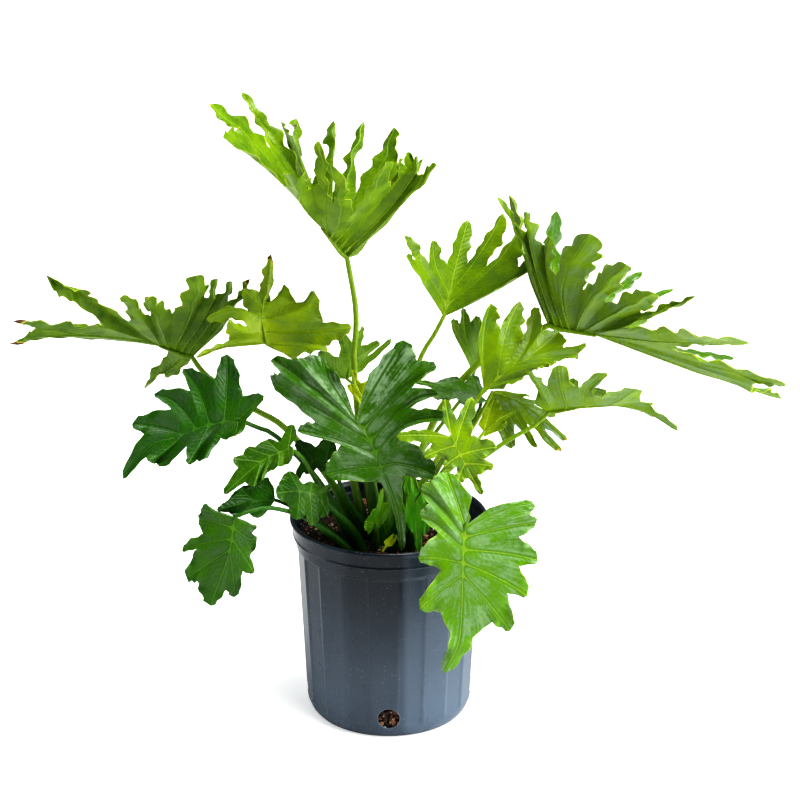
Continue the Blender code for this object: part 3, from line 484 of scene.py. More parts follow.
def scatter_tree():
    """Lays copies of a chip on a surface at random, and gives each a random tone."""
    tree, given, made = node_tree(
        "scattered",
        "GeometryNodeTree",
        [
            ("Geometry", "NodeSocketGeometry", None),
            ("Chip", "NodeSocketObject", None),
            ("Material", "NodeSocketMaterial", None),
            ("Density", "NodeSocketFloat", 1000.0),
            ("Spacing", "NodeSocketFloat", 0.003),
            ("Smallest", "NodeSocketFloat", 0.5),
            ("Largest", "NodeSocketFloat", 1.0),
            ("Tilt", "NodeSocketFloat", 0.6),
            ("Seed", "NodeSocketInt", 1),
        ],
        [("Geometry", "NodeSocketGeometry")],
    )
    points = placed(
        tree,
        "GeometryNodeDistributePointsOnFaces",
        {
            "Mesh": given.outputs["Geometry"],
            "Distance Min": given.outputs["Spacing"],
            "Density Max": given.outputs["Density"],
            "Seed": given.outputs["Seed"],
        },
        distribute_method="POISSON",
    )
    shape = placed(tree, "GeometryNodeObjectInfo", {"Object": given.outputs["Chip"]})
    tilt = given.outputs["Tilt"]
    result = calculator(tree)
    tilt_back = result("MULTIPLY", tilt, -1.0)
    most = placed(tree, "ShaderNodeCombineXYZ", {0: tilt, 1: tilt, 2: math.tau})
    least = placed(tree, "ShaderNodeCombineXYZ", {0: tilt_back, 1: tilt_back})
    spin = placed(
        tree,
        "FunctionNodeRandomValue",
        {0: least.outputs[0], 1: most.outputs[0], "Seed": 3},
        data_type="FLOAT_VECTOR",
    )
    lying = placed(
        tree,
        "FunctionNodeRotateRotation",
        {0: points.outputs["Rotation"], 1: spin.outputs["Value"]},
        rotation_space="LOCAL",
    )
    size = placed(
        tree,
        "FunctionNodeRandomValue",
        {2: given.outputs["Smallest"], 3: given.outputs["Largest"], "Seed": 5},
        data_type="FLOAT",
    )
    copies = placed(
        tree,
        "GeometryNodeInstanceOnPoints",
        {
            "Points": points.outputs["Points"],
            "Instance": shape.outputs["Geometry"],
            "Rotation": lying.outputs[0],
            "Scale": size.outputs[1],
        },
    )
    tone = placed(tree, "FunctionNodeRandomValue", {2: 0.0, 3: 1.0, "Seed": 7}, data_type="FLOAT")
    toned = placed(
        tree,
        "GeometryNodeStoreNamedAttribute",
        {"Geometry": copies.outputs[0], "Name": "tone", "Value": tone.outputs[1]},
        data_type="FLOAT",
        domain="INSTANCE",
    )
    real = placed(tree, "GeometryNodeRealizeInstances", {0: toned.outputs[0]})
    finish = given.outputs["Material"]
    finished = placed(tree, "GeometryNodeSetMaterial", {0: real.outputs[0], "Material": finish})
    tree.links.new(finished.outputs[0], made.inputs[0])
    return tree


def colour_at(tree, value, colours):
    """The colour at this value. The list gives the lowest value's, the highest one's, then those between."""
    ramp = placed(tree, "ShaderNodeValToRGB", {0: value})
    for place, (share, colour) in enumerate(colours):
        stop = ramp.color_ramp.elements[place] if place < 2 else ramp.color_ramp.elements.new(share)
        stop.position = share
        stop.color = (*colour, 1)
    return ramp.outputs[0]


def grain_material(name, tones, roughness, fineness):
    """Each grain takes its own tone from the list, roughened by fine noise."""
    made, tree, shader = finish_named(name)
    result = calculator(tree)
    where = placed(tree, "ShaderNodeTexCoord").outputs["Object"]
    fibre = placed(tree, "ShaderNodeTexNoise", {"Vector": where, "Scale": fineness, "Detail": 4.0}).outputs[0]
    tone = placed(tree, "ShaderNodeAttribute", attribute_name="tone").outputs["Fac"]
    grained = result("ADD", tone, result("MULTIPLY", result("SUBTRACT", fibre, 0.5), 0.5))
    shader.inputs["Roughness"].default_value = roughness
    tree.links.new(colour_at(tree, grained, tones), shader.inputs["Base Color"])
    raised(tree, shader, fibre, 0.0012, 0.7)
    return made


def copy_of(source, name, keep):
    """A mesh of the source's faces that pass the test."""
    bm = bmesh.new()
    bm.from_mesh(source.data)
    unwanted = [face for face in bm.faces if not keep(face.calc_center_median(), face.normal)]
    bmesh.ops.delete(bm, geom=unwanted, context="FACES")
    return piece_from(name, bm)


def drain_patch():
    """The soil's face behind each drain hole."""
    bm = bmesh.new()
    for hole in range(DRAIN_HOLES):
        turn = math.tau * hole / DRAIN_HOLES
        middle = Vector((math.cos(turn), math.sin(turn), 0)) * (wall_radius(DRAIN_HEIGHT) - WALL * 0.8)
        middle.z = DRAIN_HEIGHT
        side = Vector((-math.sin(turn), math.cos(turn), 0))
        ring = []
        for step in range(PATCH_SIDES):
            angle = math.tau * step / PATCH_SIDES
            outward = side * math.cos(angle) + Vector((0, 0, math.sin(angle)))
            ring.append(bm.verts.new(middle + outward * DRAIN_RADIUS))
        bm.faces.new(ring)
    return piece_from("drain_patch", bm)


def joined(pieces, name):
    """The pieces as one object."""
    with bpy.context.temp_override(active_object=pieces[0], selected_editable_objects=pieces):
        bpy.ops.object.join()
    pieces[0].name = name
    return pieces[0]


def on_top(middle, normal):
    """Whether a face of the soil is part of its upper surface."""
    return normal.z > 0.3 and middle.z > POT_HEIGHT - 0.04


def make_soil():
    """The filling with its chips, crumb and perlite laid on top and packed into the drain holes."""
    body = soil_body()
    body.data.materials.append(grain_material("peat", PEAT, 0.95, 260.0))
    tree = scatter_tree()
    bark_shape = chip("bark_shape", 0.015, 0.0072, 0.0024, 1)
    crumb_shape = chip("crumb_shape", 0.004, 0.0032, 0.0026, 2)
    perlite_shape = chip("perlite_shape", 0.0042, 0.0036, 0.0034, 3)
    bark_material = grain_material("bark", BARK, 0.8, 420.0)
    perlite_material = grain_material("perlite", PERLITE, 0.7, 500.0)
    kinds = [
        dict(
            shape=bark_shape, finish=bark_material, density=16000.0, spacing=0.0058,
            packed_spacing=0.0042, smallest=0.45, tilt=0.7, seed=11,
        ),
        dict(
            shape=crumb_shape, finish=bark_material, density=90000.0, spacing=0.0026,
            packed_spacing=0.0048, smallest=0.4, tilt=2.0, seed=12,
        ),
        dict(
            shape=perlite_shape, finish=perlite_material, density=2200.0, spacing=0.012,
            packed_spacing=0.010, smallest=0.5, tilt=2.0, seed=13,
        ),
    ]
    pieces = [body]
    for kind in kinds:
        laid = {
            "Chip": kind["shape"], "Material": kind["finish"], "Density": kind["density"],
            "Spacing": kind["spacing"], "Smallest": kind["smallest"], "Largest": 1.0,
            "Tilt": kind["tilt"], "Seed": kind["seed"],
        }
        ground = copy_of(body, "ground", on_top)
        pieces.append(run_nodes(ground, tree, laid, f"laid_{kind['seed']}"))
        packed = laid | {
            "Density": kind["density"] * 3, "Spacing": kind["packed_spacing"],
            "Smallest": kind["smallest"] * 1.4, "Tilt": 0.5,
        }
        pieces.append(run_nodes(drain_patch(), tree, packed, f"packed_{kind['seed']}"))
    for shape in (bark_shape, crumb_shape, perlite_shape):
        bpy.data.objects.remove(shape)
    return joined(pieces, "potting_mix")


potting_mix = make_soil()
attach(potting_mix, "root")
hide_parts("soil")

# Each leaf is one growth: a firm round stalk, broad at its foot where it clasps the crown, and a thin
# blade cut into lobes, each with a pale rib. The stalk and the ribs are swept tubes, and the blade is laid
# out lobe by lobe and given its thickness.
CENTIMETRE = 0.01
MILLIMETRE = 0.001
CROWN = Vector((-0.006, -0.032, 0))
FOOT_IN_SOIL = 0.024
STALK_STEP = 0.012
SHEATH_SWELL = 1.75
SHEATH_FULL = 0.01
SHEATH_LENGTH = 0.09
STALK_SIDES = 14
BLADE_THICKNESS = 0.0007
LOBE_WIDTH = 0.8
RIB_BOW = 0.06
RIB_FROM_NOTCH = 0.3
NEAREST_NOTCH = 0.12
FURTHEST_NOTCH = 0.8
ROWS_TO_NOTCH = 5
ROW_LENGTH = 0.005
FEWEST_ROWS = 8
MOST_ROWS = 44
COLUMN_SHARES = (0, 0.2, 0.4, 0.6, 0.8, 0.93, 1)
TIP_START = 0.82
TIP_ROUNDING = 2.4
SLENDER_WIDTHS = ((0.7, 0.85), (0.8, 1.05), (0.65, 0.85))
BLUNT_WIDTHS = (0.84, 0.7, 0.48)
FOLD = 0.11
RUFFLE = 0.22
RIPPLE = 0.07
WAVE_HEIGHT = 0.0016
WAVE_LENGTH = 0.022
SWAY_LENGTH = 0.05
ROLL_FADE = 0.35
NARROWING_FADE = 0.25
ROLLED_NARROWING = 0.55
LOBE_AGE_SPREAD = 0.04
LOBE_AGE_FADE = 0.35
DRY_FADE = 0.12
HEART_SIZE = 0.045
HEART_AGE = 0.05
MIDRIB_SHARE = 0.5
RIB_SHARE = 0.6
RIB_START = 0.0003
RIB_GROWTH = 0.0065
RIB_TAPER = 0.7
RIB_END = 0.00028
RIB_DROP = 0.35
RIB_STEPS = 20
RIB_SIDES = 6

# Under the blade the stalk runs on and thins away: how far along the midrib, how deep under it and how
# thick, the last two as shares of the stalk's end radius.
STALK_UNDER_BLADE = ((0.04, 0.7, 0.85), (0.12, 0.55, 0.66), (0.2, 0.4, 0.5))

# A point is (across, down, depth): where the camera sees it, in the photograph's 800 by 800, and how far it
# lies behind the pot's axis, in centimetres. Notches, shoulders and bends take their depth from the lobes.
#   age: 0 is old and dark, 1 is new and lime. lobe_ages adds to it lobe by lobe. light picks the skin.
#   junction, midrib: where the stalk meets the blade, and the midrib's points from there to the blade's end.
#   left, right: the tips of the side lobes from the stalk on. A lobe's number is its place in this list, and
#   the end lobe comes after the last.
#   notches, shoulder: the notch after each lobe, and the edge beside the stalk. A notch that isn't given
#   lies the share cut of the way from the midrib to the middle between its tips.
#   bends: where a lobe's rib passes halfway. widths: how broad a lobe is. lobe_width: how broad the slender
#   ones are. tapered: lobes that aren't slender, however long. reach: the share of the midrib that the side
#   lobes leave from. upper: the way that the upper side faces.
#   fold, ruffle, twist, ripple: how far a rib lies below its edges, and how far the edges rise, turn and
#   wave, as shares of the lobe's half width. wave, wave_length, sway: the height and length of the edge's
#   waves and the swing of the ribs, in metres. rolls: how far a lobe turns its breadth to the camera.
#   painted sheen: a pale painted reflection of the lamps. dry: how far along a lobe it starts to wither.
#   stalk: its points from the blade down. stalk_radius: at its foot and at its end, in millimetres.
#   root: its foot's direction from the crown, in degrees, and its distance, in millimetres.
#   rib_drop: how far a rib's middle lies under the blade, as a share of its radius.
LEAVES = [
    dict(
        name="leaf_top",
        age=0.77,
        fold=0.1,
        ripple=0.18,
        wave=0.003,
        wave_length=0.024,
        sway=0.003,
        twist=0.12,
        rolls={("right", 7): 0.8},
        dry={"end": 0.94},
        junction=(347, 258, 4),
        midrib=[(300, 200, 2.4), (252, 140, 1.6), (209, 104, 1)],
        left=[
            (437, 165, 0), (417, 156, -2), (400, 158, -4), (386, 162, -6),
            (330, 165, -8), (319, 141, -8), (298, 179, -8.4), (223, 137, -4),
        ],
        left_notches=[
            (416, 173), (404, 174), (391, 186), (354, 212),
            (333, 203), (311, 190), (286, 187), (242, 133),
        ],
        left_shoulder=(386, 225),
        left_bends={4: (341, 208), 5: (325, 195), 7: (268, 168)},
        left_widths={4: 0.7, 5: 0.6, 6: 1.1, 7: 1.1, 8: 1.0},
        right=[
            (423, 159, 9), (409, 152, 12), (394, 127, 15), (364, 121, 17),
            (334, 120, 17), (297, 119, 16), (281, 121, 13), (242, 92, 8),
        ],
        right_notches=[
            (412, 172), (397, 172), (356, 193), (331, 197),
            (312, 184), (292, 136), (300, 182), (271, 149),
        ],
        right_widths={7: 0.9},
        right_bends={
            2: (374, 180), 3: (350, 172), 4: (331, 152),
            5: (300, 160), 6: (297, 156), 7: (280, 152),
        },
        upper=(0.5, 0, 1),
        reach=0.25,
        cut=0.5,
        lobe_width=0.5,
        stalk=[(355, 303, 3.4), (356, 330, 2.4), (354, 365, 1.2), (362, 450, -0.8)],
        stalk_radius=(5.0, 3.2),
        root=(120, 13),
    ),
    dict(
        name="leaf_far_left",
        age=0.68,
        fold=0.2,
        ripple=0.18,
        wave=0.003,
        wave_length=0.022,
        sway=0.003,
        twist=0.15,
        dry={"end": 0.8, ("right", 6): 0.78, ("left", 3): 0.95, ("left", 0): 0.8, ("left", 4): 0.9},
        junction=(192, 357, 8),
        midrib=[(140, 340, 7.4), (60, 329, 5.4), (13, 321, 3)],
        left=[
            (250, 279, 6.4), (230, 281, 4), (216, 279, 1.6), (198, 275, 0),
            (146, 297, -1), (124, 295, -1.4), (46, 275, -1),
        ],
        left_notches=[(228, 302), (214, 300), (205, 298), (172, 314), (150, 316), (129, 322), (106, 327)],
        left_shoulder=(222, 330),
        left_bends={6: (82, 298)},
        left_widths={3: 0.9, 4: 0.9, 5: 0.8, 6: 0.75},
        right=[
            (168, 378, 11), (144, 388, 12), (154, 324, 19), (126, 324, 22),
            (100, 322, 22), (74, 324, 17), (9, 344, 7),
        ],
        right_notches=[(165, 373), (168, 352), None, None, None, None, (46, 330)],
        right_shoulder=(188, 364),
        right_bends={6: (60, 333)},
        upper=(0, 0.3, 1),
        reach=0.25,
        cut=0.5,
        lobe_width=0.65,
        stalk=[(202, 371, 7.6), (215, 382, 7), (254, 409, 5.6), (285, 428, 3.6), (330, 480, 0)],
        stalk_radius=(5.0, 3.2),
        root=(150, 37),
    ),
    dict(
        name="leaf_arched_left",
        age=0.89,
        ripple=0.16,
        wave=0.003,
        wave_length=0.018,
        twist=0.2,
        painted_sheen={"all": 0.1},
        dry={"end": 0.8},
        junction=(267, 344, 2),
        midrib=[(262, 320, 2.6), (265, 290, 4), (271, 254, 6)],
        left=[(196, 358, -2), (229, 320, -1), (206, 319, 1), (243, 289, 4)],
        left_notches=[(229, 340), (247, 326), (248, 311), (259, 292)],
        left_shoulder=(232, 347),
        left_bends={0: (231, 344), 2: (236, 304)},
        right=[(314, 351, -2), (352, 327, 1), (314, 291, 4), (284, 284, 6)],
        right_notches=[(326, 346), (322, 322), (295, 303), (271, 304)],
        right_shoulder=(288, 355),
        upper=(0.2, 0.4, 1),
        reach=0.5,
        cut=0.5,
        lobe_width=0.8,
        stalk=[(294, 358, 1.6), (318, 390, 1), (345, 450, -0.6)],
        stalk_radius=(4.6, 2.8),
        root=(150, 26),
    ),
    dict(
        name="leaf_small_cup",
        age=0.65,
        junction=(347, 379, 6),
        midrib=[(352, 352, 7), (363, 326, 9)],
        left=[(318, 352, 4), (342, 333, 5.5)],
        right=[(392, 339, 9), (380, 343, 10)],
        upper=(0, 0.3, 1),
        reach=0.4,
        cut=0.5,
        stalk=[(356, 388, 5.4), (366, 420, 4), (372, 480, 1)],
        stalk_radius=(3.6, 2.2),
        root=(115, 30),
    ),
    dict(
        name="leaf_yellow",
        age=0.95,
        junction=(366, 403, -0.8),
        midrib=[(358, 388, -1.2), (352, 370, -1.8)],
        left=[(347, 386, -1.8)],
        right=[(370, 382, -0.8)],
        upper=(0, -1, 0.4),
        reach=0.3,
        cut=0.6,
        stalk=[(369, 425, -0.8), (374, 480, -2)],
        stalk_radius=(3.0, 1.8),
        root=(90, 1),
    ),
    dict(
        name="leaf_middle_left",
        age=0.29,
        fold=0.1,
        rib_drop=0.8,
        painted_sheen={"all": 0.08},
        dry={("right", 0): 0.9},
        junction=(238, 419, -6),
        midrib=[(200, 428, -7), (160, 446, -8.6), (123, 479, -10)],
        left=[(264, 396, -5), (227, 354, -3.4), (183, 369, -4.4), (154, 394, -6), (132, 424, -8)],
        left_notches=[(243, 396), (214, 380), (190, 391), (171, 409), (144, 434)],
        left_shoulder=(248, 418),
        right=[(235, 436, -8), (204, 459, -10), (188, 464, -10), (166, 466, -10), (147, 459, -10.4)],
        right_notches=[(221, 438), (197, 459), (187, 446), (156, 463), (152, 452)],
        upper=(0, -1, 0.6),
        reach=0.5,
        tapered=(5,),
        cut=0.5,
        lobe_width=1,
        stalk=[(256, 427, -5), (277, 437, -3.8), (318, 480, -1.6)],
        stalk_radius=(4.4, 2.6),
        root=(188, 37),
    ),
    dict(
        name="leaf_yellow_green",
        age=0.42,
        fold=0.06,
        rib_drop=0.8,
        junction=(288, 449, -8),
        midrib=[(262, 461, -9), (224, 494, -11)],
        left=[(292, 424, -7), (266, 440, -7.6), (248, 447, -8.4), (233, 459, -9.4)],
        left_notches=[(280, 442), (255, 447), (243, 455), (238, 468)],
        right=[(290, 462, -9), (278, 466, -9.6), (262, 480, -10.4), (254, 486, -11)],
        right_notches=[(284, 465), (268, 472), (258, 483), (245, 482)],
        upper=(0, -1, 0.6),
        reach=0.45,
        tapered=(4,),
        cut=0.5,
        lobe_width=1,
        stalk=[(301, 456, -7.6), (318, 484, -6.6)],
        stalk_radius=(4.0, 2.4),
        root=(204, 38),
    ),
    dict(
        name="leaf_dark_low",
        age=0.26,
        fold=0.06,
        rib_drop=0.8,
        junction=(275, 500, -9.5),
        midrib=[(248, 502, -10.6), (217, 510, -12)],
        left=[(267, 477, -8.6), (240, 488, -10)],
        left_notches=[(254, 486), (228, 500)],
        left_shoulder=(274, 488),
        right=[(257, 518, -10.8), (238, 517, -11.4)],
        right_notches=[(249, 513), (228, 512)],
        right_shoulder=(268, 510),
        upper=(0, -1, 0.6),
        reach=0.55,
        cut=0.6,
        stalk=[(288, 505, -9), (318, 522, -7.2)],
        stalk_radius=(3.6, 2.2),
        root=(196, 50),
    ),
    dict(
        name="leaf_low_left",
        age=0.36,
        fold=0.06,
        rib_drop=0.8,
        painted_sheen={"all": 0.1},
        wave_length=0.016,
        ripple=0.12,
        junction=(235, 517, -13),
        midrib=[(231, 545, -14), (223, 575, -14.6), (211, 606, -15)],
        left=[(206, 503, -12.4), (199, 519, -12.8), (182, 551, -13.6), (187, 579, -14.4)],
        left_notches=[(201, 511), (203, 533), (197, 549), (197, 581)],
        left_shoulder=(220, 512),
        right=[(257, 526, -12.6), (257, 539, -13), (254, 573, -14), (235, 597, -14.8)],
        right_notches=[(252, 533), (250, 556), (243, 571), (226, 590)],
        right_shoulder=(246, 521),
        upper=(0, -1, 0.4),
        reach=0.42,
        tapered=(4,),
        cut=0.5,
        lobe_width=1,
        stalk=[(247, 512, -12.4), (272, 508, -11), (310, 520, -8.6)],
        stalk_radius=(3.8, 2.4),
        root=(214, 51),
    ),
    dict(
        name="leaf_over_rim",
        age=0.36,
        fold=0.06,
        rib_drop=0.8,
        junction=(319, 496, -8.6),
        midrib=[(300, 491, -9.6), (276, 493, -10.6)],
        left=[(331, 484, -8), (313, 482, -8.2), (289, 471, -9)],
        left_notches=[(322, 488), (303, 484), (279, 483)],
        right=[(328, 515, -9.2), (312, 526, -10), (297, 520, -10.6)],
        right_notches=[(319, 517), (305, 514), (287, 504)],
        upper=(0, -1, 0.6),
        reach=0.6,
        cut=0.55,
        lobe_width=1,
        stalk=[(334, 510, -8), (350, 526, -7)],
        stalk_radius=(3.8, 2.4),
        root=(226, 38),
    ),
    dict(
        name="leaf_dark_behind",
        age=0.3,
        junction=(326, 462, -4.8),
        midrib=[(312, 460, -5.5), (296, 481, -6.8)],
        left=[(330, 436, -4.2), (296, 441, -5)],
        right=[(322, 472, -5.6), (308, 474, -6.3)],
        upper=(0, -1, 0.6),
        reach=0.55,
        cut=0.6,
        lobe_width=1,
        stalk=[(334, 470, -5), (350, 505, -4.2)],
        stalk_radius=(3.6, 2.2),
        root=(180, 13),
    ),
    dict(
        name="leaf_front",
        age=0.38,
        painted_sheen={"all": 0.3, ("left", 0): 0.6, ("right", 0): 0.6, ("left", 1): 0.35, ("left", 3): 0.4},
        rib_drop=0.8,
        fold=0.05,
        ruffle=0.3,
        wave=0.0022,
        wave_length=0.02,
        junction=(356, 420, -6),
        midrib=[(371, 444, -7.6), (385, 477, -9), (397, 513, -9.8), (402, 553, -10.2)],
        left=[(322, 357, -3.6), (272, 359, -4.4), (272, 383, -5.4), (297, 431, -7.6), (325, 475, -9.4)],
        left_notches=[(297, 360), (281, 373), (315, 422), (341, 445), (381, 483)],
        left_shoulder=(345, 388),
        left_widths={5: 0.72},
        right_widths={5: 0.72},
        tapered=(5,),
        right=[(403, 340, -2.6), (437, 367, -3.6), (440, 394, -4.8), (451, 419, -6), (437, 476, -8.6)],
        right_notches=[(417, 361), (412, 388), (411, 408), (397, 435), (402, 477)],
        right_shoulder=(369, 374),
        upper=(0, -1, 0.6),
        reach=0.42,
        cut=0.5,
        lobe_width=1,
        stalk=[(362, 432, -5), (370, 470, -3.8), (376, 510, -3.6)],
        stalk_radius=(5.0, 3.0),
        root=(240, 13),
    ),
    dict(
        name="leaf_dark_right",
        age=0.41,
        painted_sheen={"all": 0.3},
        junction=(481, 396, 5),
        midrib=[(450, 388, 3), (414, 381, 1.6)],
        left=[(472, 375, 6), (451, 377, 4)],
        right=[(464, 405, 3), (434, 398, 1.8)],
        upper=(0, -1, 0.6),
        reach=0.6,
        cut=0.6,
        stalk=[(478, 412, 6), (446, 455, 5), (402, 510, 0.6)],
        stalk_radius=(3.8, 2.2),
        root=(64, 27),
    ),
    dict(
        name="leaf_upper_middle",
        age=0.8,
        ripple=0.16,
        wave=0.0018,
        wave_length=0.02,
        twist=0.05,
        painted_sheen={"all": 0.05},
        junction=(444, 316, 9),
        midrib=[(455, 270, 12), (468, 220, 16)],
        left=[(406, 256, 7), (404, 235, 8), (433, 240, 11)],
        left_notches=[(417, 261), (429, 264), (447, 264)],
        left_shoulder=(423, 284),
        left_bends={1: (421, 266), 2: (437, 268)},
        right=[(534, 268, 10), (520, 229, 12), (503, 213, 14)],
        right_notches=[(518, 266), (486, 267), (467, 264)],
        right_shoulder=(490, 293),
        right_bends={2: (479, 254)},
        upper=(0, -1, 1),
        reach=0.3,
        cut=0.5,
        lobe_width=1.1,
        stalk=[(434, 335, 8.4), (420, 359, 7.4), (400, 420, 4.8), (388, 490, 1)],
        stalk_radius=(4.4, 2.6),
        root=(60, 13),
    ),
    dict(
        name="leaf_far_right",
        age=0.8,
        fold=0.14,
        ripple=0.15,
        wave=0.003,
        wave_length=0.024,
        sway=0.002,
        twist=0.15,
        lobe_ages={("right", lobe): -0.32 for lobe in (1, 2, 3, 4, 6)},
        painted_sheen={"all": 0.3, ("right", 3): 0.7},
        dry={"end": 0.97},
        junction=(549, 325, 8),
        midrib=[(620, 340, 8), (700, 362, 8), (786, 384, 6)],
        left=[
            (497, 197, 3), (526, 212, 2), (551, 239, 0), (591, 234, -2),
            (627, 265, -3), (654, 293, -3), (696, 296, -2), (750, 343, 1),
        ],
        left_notches=[
            (526, 232), (543, 245), (556, 278), (583, 290),
            (606, 303), (641, 313), (622, 328), (668, 346),
        ],
        left_shoulder=(533, 275),
        left_bends={0: (526, 262), 3: (561, 279), 4: (592, 299), 5: (612, 308), 6: (646, 315), 7: (684, 341)},
        left_widths={3: 1.3, 4: 1.0, 5: 0.9, 6: 0.9, 7: 1.1, 8: 0.8},
        right=[
            (509, 195, 10), (557, 211, 19), (586, 257, 24), (642, 272, 25),
            (674, 289, 25), (645, 317, 22), (734, 358, 18), (781, 399, 10),
        ],
        right_notches=[None] * 7 + [(752, 385)],
        right_shoulder=(540, 285),
        upper=(0, 0.3, 1),
        reach=0.22,
        cut=0.42,
        lobe_width=0.6,
        stalk=[(518, 341, 7.6), (480, 362, 7.4), (440, 410, 5.8), (412, 480, 1.6)],
        stalk_radius=(5.0, 4.0),
        root=(35, 37),
    ),
    dict(
        name="leaf_lime_right",
        age=0.87,
        ripple=0.16,
        wave=0.003,
        painted_sheen={"all": 0.1},
        wave_length=0.018,
        twist=0.2,
        junction=(484, 390, 0),
        midrib=[(525, 360, 0), (586, 343, 1)],
        left=[(491, 303, 4), (520, 301, 5), (534, 307, 6.5), (559, 332, 4)],
        left_notches=[(500, 330), (519, 345), (541, 332), (564, 348)],
        left_shoulder=(477, 342),
        left_bends={0: (483, 340), 1: (505, 332), 2: (526, 342)},
        right=[(513, 384, -3), (538, 367, -4), (551, 366, -4), (574, 358, -2)],
        right_notches=[(523, 377), (542, 367), (556, 361), (578, 354)],
        right_shoulder=(497, 389),
        upper=(0, -0.2, 1),
        reach=0.55,
        cut=0.5,
        lobe_width=1,
        stalk=[(470, 410, 0), (440, 455, -0.6), (405, 510, -2.2)],
        stalk_radius=(4.4, 2.6),
        root=(0, 13),
    ),
    dict(
        name="leaf_dark_back",
        age=0.72,
        junction=(476, 366, 11),
        midrib=[(466, 338, 11.6), (463, 308, 12.4)],
        left=[(451, 321, 11)],
        right=[(480, 317, 13)],
        upper=(0, -1, 0.4),
        reach=0.4,
        cut=0.7,
        lobe_width=1,
        stalk=[(466, 392, 10), (430, 440, 7), (398, 490, 3.4)],
        stalk_radius=(3.4, 2.0),
        root=(62, 37),
    ),
    dict(
        name="leaf_low_right",
        age=0.76,
        painted_sheen={"all": 0.3},
        twist=0.2,
        junction=(549, 412, -4),
        midrib=[(590, 407, -4), (638, 408, -4), (678, 431, -4)],
        left=[(526, 371, -7), (559, 365, -8), (607, 373, -9), (637, 389, -8)],
        left_notches=[(547, 386), (576, 388), (592, 395), (640, 402)],
        left_shoulder=(540, 393),
        right=[(542, 386, 1), (573, 378, 3), (598, 388, 4), (652, 403, 1)],
        upper=(0, 0.3, 1),
        reach=0.5,
        cut=0.5,
        lobe_width=1,
        stalk=[(535, 425, -4.2), (498, 447, -4.6), (440, 492, -5)],
        stalk_radius=(4.2, 2.4),
        root=(348, 38),
    ),
    dict(
        name="leaf_drooping_right",
        age=0.87,
        painted_sheen={"all": 1.0},
        dry={"end": 0.85, ("right", 2): 0.85},
        junction=(492, 392, 6),
        midrib=[(520, 402, 5), (546, 420, 4), (568, 440, 3.4)],
        left=[(530, 396, 7), (543, 402, 6), (556, 415, 5)],
        right=[(511, 449, 4), (537, 448, 3), (562, 451, 3)],
        right_notches=[(515, 424), (527, 424), (545, 429)],
        upper=(0, -1, 1),
        reach=0.4,
        cut=0.55,
        stalk=[(484, 408, 5), (455, 455, 2.6), (416, 508, -1.6)],
        stalk_radius=(4.0, 2.4),
        root=(30, 26),
    ),
    dict(
        name="leaf_small_right",
        age=0.92,
        junction=(484, 432, -1),
        midrib=[(498, 420, -0.8), (516, 411, -0.4)],
        left=[(495, 398, 0)],
        right=[(506, 426, -1)],
        upper=(0, -1, 0.6),
        reach=0.4,
        cut=0.6,
        stalk=[(468, 452, -1.4), (430, 492, -2.8)],
        stalk_radius=(3.4, 2.0),
        root=(0, 26),
    ),
    dict(
        name="leaf_glossy_young",
        age=0.83,
        ripple=0.18,
        wave=0.003,
        painted_sheen={"all": 0.1},
        wave_length=0.016,
        junction=(452, 437, -9.6),
        midrib=[(462, 458, -10.2), (482, 495, -11.2)],
        left=[(396, 436, -10.4), (424, 457, -10.8), (444, 467, -11), (458, 482, -11.2)],
        right=[(445, 399, -8.2), (472, 397, -7.8), (497, 447, -9.6), (494, 466, -10.6)],
        upper=(0, -1, 0.6),
        reach=0.55,
        cut=0.5,
        lobe_width=1,
        stalk=[(446, 455, -8.8), (424, 495, -6.8)],
        stalk_radius=(3.8, 2.2),
        root=(330, 26),
    ),
    dict(
        name="leaf_front_right",
        age=0.68,
        fold=0.04,
        ruffle=0.3,
        painted_sheen={"all": 0.45, ("left", 0): 0.6},
        rib_drop=0.8,
        light="fresh",
        dry={"end": 0.97},
        junction=(465, 526, -14.5),
        midrib=[(463, 560, -15.8), (462, 610, -16.8), (458, 645, -17.2), (444, 673, -17.4)],
        left=[(446, 472, -12.4), (421, 491, -13), (420, 516, -14), (418, 558, -15.6), (420, 609, -16.8)],
        left_notches=[(431, 481), (429, 504), (438, 533), (441, 570), (440, 612)],
        left_shoulder=(472, 497),
        left_widths={5: 0.62},
        right_widths={5: 0.7},
        tapered=(5,),
        right=[(532, 501, -13), (536, 523, -14), (538, 560, -15), (527, 596, -16.2), (510, 631, -17)],
        right_notches=[(530, 515), (519, 537), (519, 566), (507, 593), (492, 622)],
        right_shoulder=(489, 508),
        upper=(0, -1, 0.4),
        reach=0.36,
        cut=0.5,
        lobe_width=1,
        stalk=[(468, 514, -13.4), (452, 503, -11), (434, 512, -8)],
        stalk_radius=(4.2, 2.6),
        root=(320, 39),
    ),
    dict(
        name="leaf_crown_left",
        age=0.82,
        light="shaded",
        junction=(376, 525, -7.6),
        midrib=[(380, 508, -8), (383, 488, -8)],
        left=[(365, 521, -8)],
        right=[(389, 506, -7.4)],
        upper=(0, -1, 0.6),
        reach=0.4,
        cut=0.6,
        stalk=[(376, 535, -7)],
        stalk_radius=(3.0, 2.0),
        root=(243, 27),
    ),
    dict(
        name="leaf_crown_right",
        age=0.62,
        light="shaded",
        junction=(416, 500, -8.4),
        midrib=[(416, 528, -9.3), (419, 555, -10.1)],
        left=[(405, 520, -9.1)],
        right=[(431, 526, -9.2)],
        upper=(0, -1, 0.4),
        reach=0.4,
        cut=0.7,
        lobe_width=1,
        stalk=[(412, 508, -7.8), (406, 528, -6.8)],
        stalk_radius=(3.0, 2.0),
        root=(292, 31),
    ),
    dict(
        name="leaf_crown_back",
        age=0.65,
        light="shaded",
        junction=(410, 475, -4.6),
        midrib=[(411, 490, -5.4), (413, 508, -6)],
        left=[(404, 492, -5.4)],
        right=[(419, 493, -5.4)],
